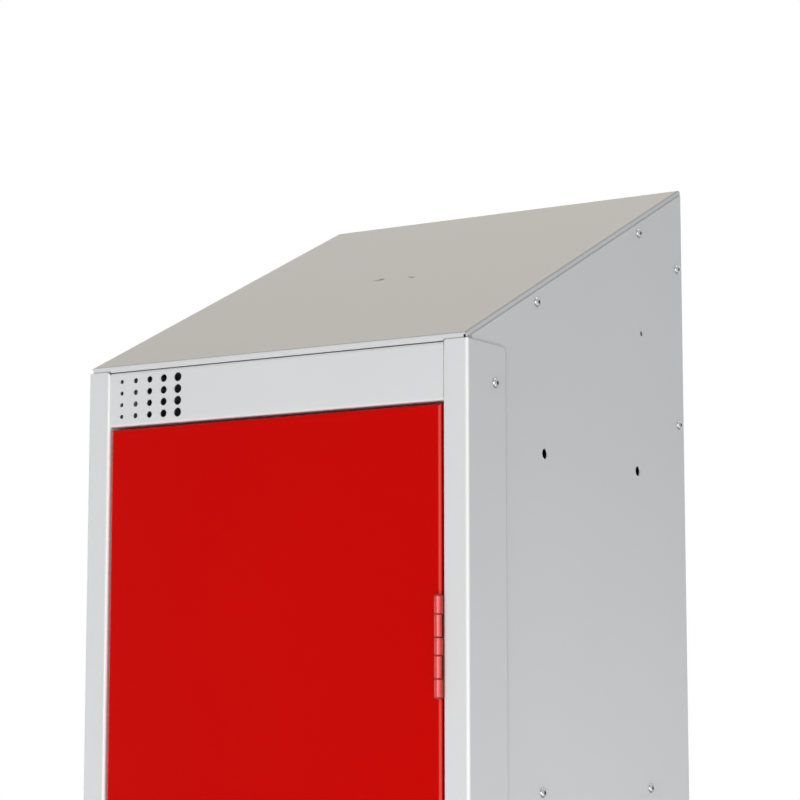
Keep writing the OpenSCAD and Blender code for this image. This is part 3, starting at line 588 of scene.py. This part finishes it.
def rivet_tree(aluminium, steel):
    """Builds the node tree that turns a mesh of seats into blind rivets."""
    tree = bpy.data.node_groups.new("Blind rivets", "GeometryNodeTree")
    face = tree.interface
    face.new_socket("Geometry", in_out="INPUT", socket_type="NodeSocketGeometry")
    sizes = (
        "Head width", "Head height", "Hole width", "Hole depth", "Shank width", "Grip", "Tail width",
        "Tail length",
    )
    for size in sizes:
        face.new_socket(size, in_out="INPUT", socket_type="NodeSocketFloat").subtype = "DISTANCE"
    face.new_socket("Facets", in_out="INPUT", socket_type="NodeSocketInt")
    face.new_socket("Geometry", in_out="OUTPUT", socket_type="NodeSocketGeometry")
    given = add(tree, "NodeGroupInput").outputs
    body, stem = rivet_outlines(tree, given)
    # The outlines already hold their distance from the axis, so the ring that they follow has hardly any.
    ring = add(tree, "GeometryNodeCurvePrimitiveCircle", {"Resolution": given["Facets"], "Radius": 1e-7})
    lathed = []
    for outline, is_stem in ((body, False), (stem, True)):
        joined = add(tree, "GeometryNodeJoinGeometry")
        # A join puts its newest link first, so the outline is linked from its end.
        for (start, middle), (end, _) in reversed(list(zip(outline, outline[1:]))):
            if middle is None:
                line = add(tree, "GeometryNodeCurvePrimitiveLine", {"Start": start, "End": end})
            else:
                line = add(tree, "GeometryNodeCurveQuadraticBezier", {
                    "Resolution": BEND_STEPS, "Start": start, "Middle": middle, "End": end})
            tree.links.new(line.outputs[0], joined.inputs[0])
        swept = add(tree, "GeometryNodeCurveToMesh", {
            "Curve": ring.outputs[0], "Profile Curve": joined.outputs[0]})
        merged = add(tree, "GeometryNodeMergeByDistance", {
            "Geometry": swept.outputs[0], "Distance": SAME_RIVET_POINT})
        marked = add(tree, "GeometryNodeStoreNamedAttribute", {
            "Geometry": merged.outputs[0], "Name": "stem", "Value": is_stem},
            data_type="BOOLEAN", domain="FACE")
        lathed.append(marked.outputs[0])
    rivet = add(tree, "GeometryNodeJoinGeometry")
    for part in lathed:
        tree.links.new(part, rivet.inputs[0])
    smooth = add(tree, "GeometryNodeSetShadeSmooth", {"Geometry": rivet.outputs[0], "Shade Smooth": True})
    bend = add(tree, "GeometryNodeInputMeshEdgeAngle").outputs["Unsigned Angle"]
    sharp = add(tree, "ShaderNodeMath", {0: bend, 1: RIVET_CRISP_FROM}, operation="GREATER_THAN")
    creased = add(tree, "GeometryNodeSetShadeSmooth", {
        "Geometry": smooth.outputs[0], "Selection": sharp.outputs[0], "Shade Smooth": False,
    }, domain="EDGE")
    outward = add(tree, "GeometryNodeInputNamedAttribute", {"Name": "outward"}, data_type="FLOAT_VECTOR")
    turned = add(tree, "FunctionNodeAlignRotationToVector", {"Vector": outward.outputs[0]}, axis="Z")
    placed = add(tree, "GeometryNodeInstanceOnPoints", {
        "Points": given["Geometry"], "Instance": creased.outputs[0], "Rotation": turned.outputs[0]})
    real = add(tree, "GeometryNodeRealizeInstances", {"Geometry": placed.outputs[0]})
    bright = add(tree, "GeometryNodeSetMaterial", {"Geometry": real.outputs[0], "Material": aluminium})
    is_stem = add(tree, "GeometryNodeInputNamedAttribute", {"Name": "stem"}, data_type="BOOLEAN")
    dark = add(tree, "GeometryNodeSetMaterial", {
        "Geometry": bright.outputs[0], "Selection": is_stem.outputs[0], "Material": steel})
    add(tree, "NodeGroupOutput", {"Geometry": dark.outputs[0]})
    return tree


# Operators


class LOCKER_OT_stage(Operator):
    """Make the floor, the room's light, the lamps and the camera"""
    bl_idname = "locker.stage"
    bl_label = "Stage"

    def execute(self, context):
        stage = context.scene.locker_stage
        self.make_floor(context, stage)
        self.make_room(context, stage)
        middle = Vector((0, 0, (CAD_BOX[0].z + CAD_BOX[1].z) / 2))
        slope = Vector((0, 0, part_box("sloping_top")[1].z))
        key = self.make_lamp(
            context, "key_lamp", stage.key_level, middle,
            azimuth=17, height=1.1, distance=3.3, width=2.7)
        key.color = (1.0, 0.975, 0.93)
        self.make_lamp(
            context, "fill_lamp", stage.fill_level, middle,
            azimuth=-55, height=1.3, distance=3.0, width=0.9)
        # The side lamp stands near and low, so that the side panel is darker towards its top.
        side = self.make_lamp(
            context, "side_lamp", stage.side_level, middle,
            azimuth=78, height=0.85, distance=1.1, width=0.8)
        # A grid on the lamp keeps its light off the floor beneath it.
        side.spread = math.radians(120)
        self.make_lamp(
            context, "back_lamp", stage.back_level, middle,
            azimuth=205, height=2.7, distance=4.5, width=5.0)
        self.make_lamp(
            context, "top_lamp", stage.top_level, slope,
            azimuth=180, height=4.2, distance=0.4, width=1.6)
        self.make_camera(context, stage)
        return {"FINISHED"}

    def make_floor(self, context, stage):
        """A pale floor that fades to white, so that no horizon shows."""
        mesh = bpy.data.meshes.new("studio_floor")
        shape = bmesh.new()
        bmesh.ops.create_circle(shape, cap_ends=True, radius=stage.floor_radius, segments=96)
        shape.to_mesh(mesh)
        shape.free()
        floor = bpy.data.objects.new("studio_floor", mesh)
        context.scene.collection.objects.link(floor)
        material, tree, place = finish_tree("Studio floor, matt white paint")
        # Fine roller stipple keeps the floor from looking like plain card close up.
        stipple = add(tree, "ShaderNodeTexNoise", {
            "Vector": place, "Scale": 1 / (4 * MM), "Detail": 2.0}).outputs["Fac"]
        bump = add(tree, "ShaderNodeBump", {"Height": stipple, "Strength": 0.05, "Distance": 0.1 * MM})
        matt = add(tree, "ShaderNodeBsdfDiffuse", {
            "Color": opaque(stage.floor_colour), "Normal": bump.outputs[0]})
        white = add(tree, "ShaderNodeEmission", {"Color": (1, 1, 1, 1), "Strength": 1.0})
        reach = add(tree, "ShaderNodeVectorMath", {0: place}, operation="LENGTH").outputs["Value"]
        fade = add(tree, "ShaderNodeMapRange", {
            "Value": reach, "From Min": stage.fade_from, "From Max": stage.fade_to},
            interpolation_type="SMOOTHSTEP").outputs[0]
        far = add(tree, "ShaderNodeMath", {0: fade, 1: self.seen_directly(tree)}, operation="MULTIPLY")
        mixed = add(tree, "ShaderNodeMixShader", {
            0: far.outputs[0], 1: matt.outputs[0], 2: white.outputs[0]})
        add(tree, "ShaderNodeOutputMaterial", {"Surface": mixed.outputs[0]})
        mesh.materials.append(material)

    def seen_directly(self, tree):
        """One for the camera's rays and for reflections, and nothing for light that falls on the object."""
        path = add(tree, "ShaderNodeLightPath").outputs
        seen = add(tree, "ShaderNodeMath", {
            0: path["Is Camera Ray"], 1: path["Is Glossy Ray"]}, operation="MAXIMUM").outputs[0]
        return add(tree, "ShaderNodeMath", {
            0: seen, 1: path["Is Transmission Ray"]}, operation="MAXIMUM").outputs[0]

    def make_room(self, context, stage):
        """White behind the object, and a softer even light on it."""
        world = bpy.data.worlds.new("white_studio")
        world.use_nodes = True
        tree = world.node_tree
        tree.nodes.clear()
        even = add(tree, "ShaderNodeBackground", {
            "Color": (0.97, 0.98, 1.0, 1.0), "Strength": stage.ambient})
        white = add(tree, "ShaderNodeBackground", {"Color": (1, 1, 1, 1), "Strength": 1.0})
        mixed = add(tree, "ShaderNodeMixShader", {
            0: self.seen_directly(tree), 1: even.outputs[0], 2: white.outputs[0]})
        add(tree, "ShaderNodeOutputWorld", {"Surface": mixed.outputs[0]})
        context.scene.world = world
        context.scene.view_settings.view_transform = "Standard"

    def make_lamp(self, context, name, level, target, azimuth, height, distance, width):
        """A square soft box, just strong enough to light a white card at its target to the given level."""
        lamp = bpy.data.lights.new(name, "AREA")
        # Azimuths are in degrees, from straight in front of the door towards the right-hand side panel.
        turn = math.radians(azimuth)
        place = Vector((math.sin(turn) * distance, -math.cos(turn) * distance, height))
        lamp.size = width
        lamp.energy = level * math.pi ** 2 * (place - target).length_squared
        holder = bpy.data.objects.new(name, lamp)
        holder.location = place
        holder.rotation_euler = (place - target).to_track_quat("Z", "Y").to_euler()
        context.scene.collection.objects.link(holder)
        return lamp

    def make_camera(self, context, stage):
        """The photograph's viewpoint: in front of the door, to the right and looking up a little."""
        lens = bpy.data.cameras.new("photo_camera")
        lens.sensor_width = 36.0
        lens.lens = stage.camera_lens
        lens.clip_start = 0.05
        lens.clip_end = 100.0
        camera = bpy.data.objects.new("photo_camera", lens)
        camera.location = stage.camera_place
        camera.rotation_euler = (math.pi / 2 + stage.camera_rise, 0.0, stage.camera_turn)
        context.scene.collection.objects.link(camera)
        context.scene.camera = camera


class LOCKER_OT_cabinet(Operator):
    """Paint the posts, rails, sides, back, shelf and base grey"""
    bl_idname = "locker.cabinet"
    bl_label = "Cabinet sheets"

    def execute(self, context):
        paint = context.scene.locker_paint
        grey = powder_coat(
            "Grey powder coat on sheet steel", paint.body_colour, paint.grain, roughness=0.32,
            specular=0.45, folds=paint.body_fold_highlight, level_share=0.7, marks=self.painted_edge_shade)
        paint_nodes(GREY_SHEETS, grey)
        round_folds(GREY_SHEETS)
        return {"FINISHED"}

    def painted_edge_shade(self, tree, place, colour, gloss):
        """Darkens the rim of the posts' flanges: a line of painted shade along the cut edge."""
        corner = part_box("right_front_post")[1]
        middle = corner - Vector((0.0, FLANGE_CORNER, FLANGE_CORNER))
        offset = add(tree, "ShaderNodeVectorMath", {0: place, 1: middle}, operation="SUBTRACT").outputs[0]
        flat = add(tree, "ShaderNodeVectorMath", {
            0: offset, 1: (0.0, 1.0, 1.0)}, operation="MULTIPLY").outputs[0]
        past = add(tree, "ShaderNodeVectorMath", {
            0: flat, 1: (0.0, 0.0, 0.0)}, operation="MAXIMUM").outputs[0]
        reach = add(tree, "ShaderNodeVectorMath", {0: past}, operation="LENGTH").outputs["Value"]
        rim = add(tree, "ShaderNodeMapRange", {
            "Value": reach, "From Min": FLANGE_CORNER - SHADE_LINE - 0.5 * MM,
            "From Max": FLANGE_CORNER - SHADE_LINE,
        }).outputs[0]
        # Only the outer faces of the two flanges are this far from the cabinet's middle.
        outside = add(tree, "ShaderNodeMath", {
            0: size_of(tree, place, "X"), 1: corner.x - 0.1 * MM}, operation="GREATER_THAN").outputs[0]
        line = add(tree, "ShaderNodeMath", {0: rim, 1: outside}, operation="MULTIPLY").outputs[0]
        # The line is painted shade: the grey made a fifth darker.
        thin = shaded(bpy.context.scene.locker_paint.body_colour, 0.80)
        darkened = add(tree, "ShaderNodeMix", {
            SHARE: line, COLOUR_A: colour, COLOUR_B: opaque(thin)}, data_type="RGBA")
        return darkened.outputs[MIXED_COLOUR], gloss


class LOCKER_OT_top(Operator):
    """Paint the sloping top, with dust and painted shade on the slope, painted shade lines along its edges
    and two small dark marks
    """
    bl_idname = "locker.top"
    bl_label = "Sloping top"

    def execute(self, context):
        paint = context.scene.locker_paint
        top = powder_coat(
            "Grey powder coat under dust and painted shade", paint.body_colour, paint.grain, roughness=0.34,
            specular=0.18, marks=self.dust_shade_and_marks)
        paint_nodes(["sloping_top"], top)
        round_folds(["sloping_top"])
        return {"FINISHED"}

    def dust_shade_and_marks(self, tree, place, colour, gloss):
        """Adds dust and painted shade on the slope, painted shade lines along its edges and its two small
        dark marks.
        """
        faces = [face for face in NODES["sloping_top"].data.polygons if face.normal.z > 0]
        square = max(faces, key=lambda face: face.area).normal
        normal = add(tree, "ShaderNodeTexCoord").outputs["Normal"]
        # The cosine of how far the sheet has turned away from the slope: one on the slope itself.
        level = add(tree, "ShaderNodeVectorMath", {
            0: normal, 1: square}, operation="DOT_PRODUCT").outputs["Value"]
        # On the slope itself the paint takes the dust colour. This is real dust, and painted shade where
        # less light falls on the slope.
        dusty = add(tree, "ShaderNodeMapRange", {
            "Value": level, "From Min": 0.90, "From Max": 0.998}).outputs[0]
        dust = opaque(bpy.context.scene.locker_paint.dust_and_shade_colour)
        dusted_and_shaded = add(tree, "ShaderNodeMix", {
            SHARE: dusty, COLOUR_A: colour, COLOUR_B: dust}, data_type="RGBA").outputs[MIXED_COLOUR]
        # Dust scatters the light, so the slope has less shine than the paint under it.
        dull = add(tree, "ShaderNodeMix", {
            SHARE: dusty, NUMBER_A: gloss, NUMBER_B: DUSTY_ROUGHNESS}).outputs[0]
        amount = self.shade_on_folds(tree, level)
        lines = (
            self.shade_on_side_folds(tree, normal),
            self.shade_on_side_feet(tree, normal, place, square),
            self.shade_on_lip_foot(tree, normal, place),
            *(self.dark_mark(tree, place, dusty, *mark) for mark in DARK_MARKS),
        )
        for line in lines:
            amount = add(tree, "ShaderNodeMath", {0: amount, 1: line}, operation="MAXIMUM").outputs[0]
        # The painted shade along the edges and the dark marks share one dark colour.
        shaded_and_marked = add(tree, "ShaderNodeMix", {
            SHARE: amount, COLOUR_A: dusted_and_shaded, COLOUR_B: opaque(linear(SHADE_AND_MARKS))}, data_type="RGBA")
        return shaded_and_marked.outputs[MIXED_COLOUR], dull

    def shade_on_folds(self, tree, level):
        """Painted shade: a dark line in the first few degrees where the slope turns down into the folds."""
        leaving = add(tree, "ShaderNodeMapRange", {
            "Value": level, "From Min": 0.9995, "From Max": 0.992}).outputs[0]
        turned = add(tree, "ShaderNodeMapRange", {
            "Value": level, "From Min": 0.90, "From Max": 0.95, "To Max": 0.9}).outputs[0]
        return add(tree, "ShaderNodeMath", {0: leaving, 1: turned}, operation="MULTIPLY").outputs[0]

    def shade_on_side_folds(self, tree, normal):
        """The side folds get painted shade all the way round."""
        sideways = size_of(tree, normal, "X")
        bent = add(tree, "ShaderNodeMapRange", {
            "Value": sideways, "From Min": 0.02, "From Max": 0.10}).outputs[0]
        still_bent = add(tree, "ShaderNodeMapRange", {
            "Value": sideways, "From Min": FACING, "From Max": 0.80, "To Max": 0.45}).outputs[0]
        return add(tree, "ShaderNodeMath", {0: bent, 1: still_bent}, operation="MULTIPLY").outputs[0]

    def shade_on_side_feet(self, tree, normal, place, square):
        """A line of painted shade runs along the foot of the side flanges, just above the side panels."""
        foot = max(v.co.dot(square) for v in NODES["right_side_panel"].data.vertices)
        rise = add(tree, "ShaderNodeVectorMath", {
            0: place, 1: square}, operation="DOT_PRODUCT").outputs["Value"]
        low = add(tree, "ShaderNodeMapRange", {
            "Value": rise, "From Min": foot + 1.6 * MM, "From Max": foot + 0.4 * MM, "To Max": 0.35,
        }).outputs[0]
        upright = add(tree, "ShaderNodeMath", {
            0: size_of(tree, normal, "X"), 1: FACING}, operation="GREATER_THAN").outputs[0]
        return add(tree, "ShaderNodeMath", {0: low, 1: upright}, operation="MULTIPLY").outputs[0]

    def shade_on_lip_foot(self, tree, normal, place):
        """A dark line of painted shade runs along the foot of the front lip where it covers the posts."""
        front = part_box("sloping_top")[0].y + 0.1 * MM
        foot = min(v.co.z for v in NODES["sloping_top"].data.vertices if v.co.y < front)
        height = add(tree, "ShaderNodeSeparateXYZ", {0: place}).outputs["Z"]
        low = add(tree, "ShaderNodeMapRange", {
            "Value": height, "From Min": foot + 1.5 * MM, "From Max": foot + 1.0 * MM, "To Max": 0.6,
        }).outputs[0]
        facing = add(tree, "ShaderNodeSeparateXYZ", {0: normal}).outputs["Y"]
        forward = add(tree, "ShaderNodeMath", {0: facing, 1: -FACING}, operation="LESS_THAN").outputs[0]
        over_post = add(tree, "ShaderNodeMath", {
            0: size_of(tree, place, "X"), 1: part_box("header_rail")[1].x,
        }, operation="GREATER_THAN").outputs[0]
        line = add(tree, "ShaderNodeMath", {0: low, 1: forward}, operation="MULTIPLY").outputs[0]
        return add(tree, "ShaderNodeMath", {0: line, 1: over_post}, operation="MULTIPLY").outputs[0]

    def dark_mark(self, tree, place, dusty, middle, length, width, tilt, bend, depth):
        """One small dark mark on the slope: a bent line with soft edges."""
        offset = add(tree, "ShaderNodeVectorMath", {
            0: place, 1: (middle[0] * MM, middle[1] * MM, 0.0)}, operation="SUBTRACT").outputs[0]
        along, across = (
            add(tree, "ShaderNodeVectorMath", {0: offset, 1: way}, operation="DOT_PRODUCT").outputs["Value"]
            for way in (ALONG_MARK, ACROSS_MARK))
        share = add(tree, "ShaderNodeMath", {0: along, 1: length * MM}, operation="DIVIDE").outputs[0]
        square_share = add(tree, "ShaderNodeMath", {0: share, 1: share}, operation="MULTIPLY").outputs[0]
        line = weighted(tree, [(share, tilt * length * MM), (square_share, bend * length * MM)])
        aside = add(tree, "ShaderNodeMath", {0: across, 1: line}, operation="SUBTRACT").outputs[0]
        wide = add(tree, "ShaderNodeMath", {0: aside, 1: width * MM}, operation="DIVIDE").outputs[0]
        both = add(tree, "ShaderNodeCombineXYZ", {"X": share, "Y": wide}).outputs[0]
        reach = add(tree, "ShaderNodeVectorMath", {0: both}, operation="LENGTH").outputs["Value"]
        mark = add(tree, "ShaderNodeMapRange", {
            "Value": reach, "From Min": 1.15, "From Max": 0.45, "To Max": depth}).outputs[0]
        return add(tree, "ShaderNodeMath", {0: mark, 1: dusty}, operation="MULTIPLY").outputs[0]


class LOCKER_OT_door(Operator):
    """Paint the door and its stiffener red"""
    bl_idname = "locker.door"
    bl_label = "Door"

    def execute(self, context):
        paint = context.scene.locker_paint
        red = powder_coat(
            "Red powder coat on sheet steel", paint.door_colour, paint.grain, roughness=0.30,
            specular=0.05, folds=paint.door_fold_highlight, level_share=0.1)
        paint_nodes(["door_panel", "door_stiffener"], red)
        round_folds(["door_panel", "door_stiffener"])
        return {"FINISHED"}


class LOCKER_OT_hinges(Operator):
    """Paint the hinges red like the door, with painted shade where the knuckles meet and where the leaves
    go in
    """
    bl_idname = "locker.hinges"
    bl_label = "Hinges"

    def execute(self, context):
        paint = context.scene.locker_paint
        for hinge in HINGES:
            leaves = [f"hinge_frame_leaf_{hinge}", f"hinge_door_leaf_{hinge}"]
            # The knuckles end at neighbouring levels that are less than a millimetre apart.
            levels = sorted({round(v.co.z, 5) for leaf in leaves for v in NODES[leaf].data.vertices})
            self.gaps = [(low + high) / 2 for low, high in zip(levels, levels[1:]) if high - low < MM]
            red = powder_coat(
                f"Red gloss paint on the {hinge} hinge", paint.door_colour, 0.5 * paint.grain,
                roughness=0.17, specular=0.8, folds=paint.door_fold_highlight, level_share=0.0, marks=self.painted_gap_shade)
            paint_nodes([*leaves, f"hinge_pin_{hinge}"], red)
        return {"FINISHED"}

    def painted_gap_shade(self, tree, place, colour, gloss):
        """Paints shade into the gaps between the knuckles, and where the leaves go in by the post."""
        part = add(tree, "ShaderNodeSeparateXYZ", {0: place}).outputs
        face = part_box("right_front_post")[0].y
        behind = add(tree, "ShaderNodeMapRange", {
            "Value": part["Y"], "From Min": face - 0.3 * MM, "From Max": face + 0.1 * MM}).outputs[0]
        before = add(tree, "ShaderNodeMapRange", {
            "Value": part["Y"], "From Min": face + 6.0 * MM, "From Max": face + 4.0 * MM}).outputs[0]
        sunk_shade = add(tree, "ShaderNodeMath", {0: behind, 1: before}, operation="MULTIPLY").outputs[0]
        knuckle_gap_shade = 0.0
        for gap in self.gaps:
            near = add(tree, "ShaderNodeMath", {
                0: part["Z"], 1: gap, 2: 0.62 * MM}, operation="COMPARE").outputs[0]
            knuckle_gap_shade = add(tree, "ShaderNodeMath", {0: knuckle_gap_shade, 1: near}, operation="MAXIMUM").outputs[0]
        # Both darker reds are painted shade, with a rougher finish.
        for share, tone in ((sunk_shade, "#6E0F0D"), (knuckle_gap_shade, "#960A05")):
            gloss = add(tree, "ShaderNodeMix", {
                SHARE: share, NUMBER_A: gloss, NUMBER_B: GAP_SHADE_ROUGHNESS}).outputs[0]
            colour = add(tree, "ShaderNodeMix", {
                SHARE: share, COLOUR_A: colour, COLOUR_B: opaque(linear(tone)),
            }, data_type="RGBA").outputs[MIXED_COLOUR]
        return colour, gloss


class LOCKER_OT_lock(Operator):
    """Plate the lock, its nut, cam and bolt"""
    bl_idname = "locker.lock"
    bl_label = "Cam lock"

    def execute(self, context):
        paint_nodes(["lock_housing", "lock_plug"], chrome_plate("Chrome-plated die-cast zinc"))
        paint_nodes(["lock_nut", "lock_cam", "lock_cam_bolt"], zinc_plate("Zinc-plated lock steel"))
        return {"FINISHED"}


class LOCKER_OT_inside(Operator):
    """Finish the coat hook and the door buffers"""
    bl_idname = "locker.inside"
    bl_label = "Coat hook and buffers"

    def execute(self, context):
        paint_nodes(["coat_hook"], zinc_plate("Zinc-plated hook wire"))
        paint_nodes(["door_buffers"], moulded_rubber("Moulded black rubber"))
        return {"FINISHED"}


class LOCKER_OT_rivets(Operator):
    """Make every blind rivet again, with the broken stem in its head"""
    bl_idname = "locker.rivets"
    bl_label = "Rivets"

    def execute(self, context):
        sizes = context.scene.locker_rivets
        tree = rivet_tree(bright_aluminium("Bare aluminium rivet"), broken_steel("Broken rivet stem"))
        # The tree's inputs have the names of the settings.
        given = {rule.name: getattr(sizes, name) for name, rule in sizes.bl_rna.properties.items()}
        for node, axis in RIVET_AXES.items():
            seats = rivet_seats(node, axis, sizes)
            given["Grip"] = seats[0][2]
            mesh = bpy.data.meshes.new(node + "_seats")
            mesh.from_pydata([seat for seat, outward, grip in seats], [], [])
            facing = mesh.attributes.new("outward", "FLOAT_VECTOR", "POINT")
            facing.data.foreach_set("vector", [c for seat, outward, grip in seats for c in outward])
            base = bpy.data.objects.new(node + "_seats", mesh)
            context.scene.collection.objects.link(base)
            modifier = base.modifiers.new("Blind rivets", "NODES")
            modifier.node_group = tree
            for item in tree.interface.items_tree:
                if item.in_out == "INPUT" and item.name in given:
                    modifier[item.identifier] = given[item.name]
            made = bpy.data.meshes.new_from_object(base.evaluated_get(context.evaluated_depsgraph_get()))
            made.name = node + "_pulled"
            bpy.data.objects.remove(base)
            rivets = bpy.data.objects.new(node + "_pulled", made)
            context.scene.collection.objects.link(rivets)
            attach(rivets, NODES[node]["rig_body"])
            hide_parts(node)
        return {"FINISHED"}


class LOCKER_PT_sidebar(Panel):
    """Settings and steps of the locker"""
    bl_idname = "LOCKER_PT_sidebar"
    bl_label = "Locker"
    bl_space_type = "VIEW_3D"
    bl_region_type = "UI"
    bl_category = "Locker"

    def draw(self, context):
        for group in GROUPS:
            settings = getattr(context.scene, group)
            column = self.layout.column(align=True)
            for name in settings.bl_rna.properties.keys():
                if name not in ("rna_type", "name"):
                    column.prop(settings, name)
        column = self.layout.column(align=True)
        for step in OPERATORS:
            column.operator(step.bl_idname)


GROUPS = {"locker_paint": LockerPaint, "locker_rivets": LockerRivets, "locker_stage": LockerStage}
OPERATORS = (
    LOCKER_OT_stage, LOCKER_OT_cabinet, LOCKER_OT_top, LOCKER_OT_door, LOCKER_OT_hinges, LOCKER_OT_lock,
    LOCKER_OT_inside, LOCKER_OT_rivets,
)


def register():
    """Adds the settings, the operators and the panel to Blender."""
    for name, group in GROUPS.items():
        bpy.utils.register_class(group)
        setattr(bpy.types.Scene, name, PointerProperty(type=group))
    for step in (*OPERATORS, LOCKER_PT_sidebar):
        bpy.utils.register_class(step)


def unregister():
    """Takes everything out again that register adds."""
    for step in (LOCKER_PT_sidebar, *reversed(OPERATORS)):
        bpy.utils.unregister_class(step)
    for name, group in GROUPS.items():
        delattr(bpy.types.Scene, name)
        bpy.utils.unregister_class(group)


def main():
    """Makes the whole scene."""
    register()
    bpy.ops.locker.stage()
    bpy.ops.locker.cabinet()
    bpy.ops.locker.top()
    bpy.ops.locker.door()
    bpy.ops.locker.hinges()
    bpy.ops.locker.lock()
    bpy.ops.locker.inside()
    bpy.ops.locker.rivets()


if __name__ == "__main__":
    main()
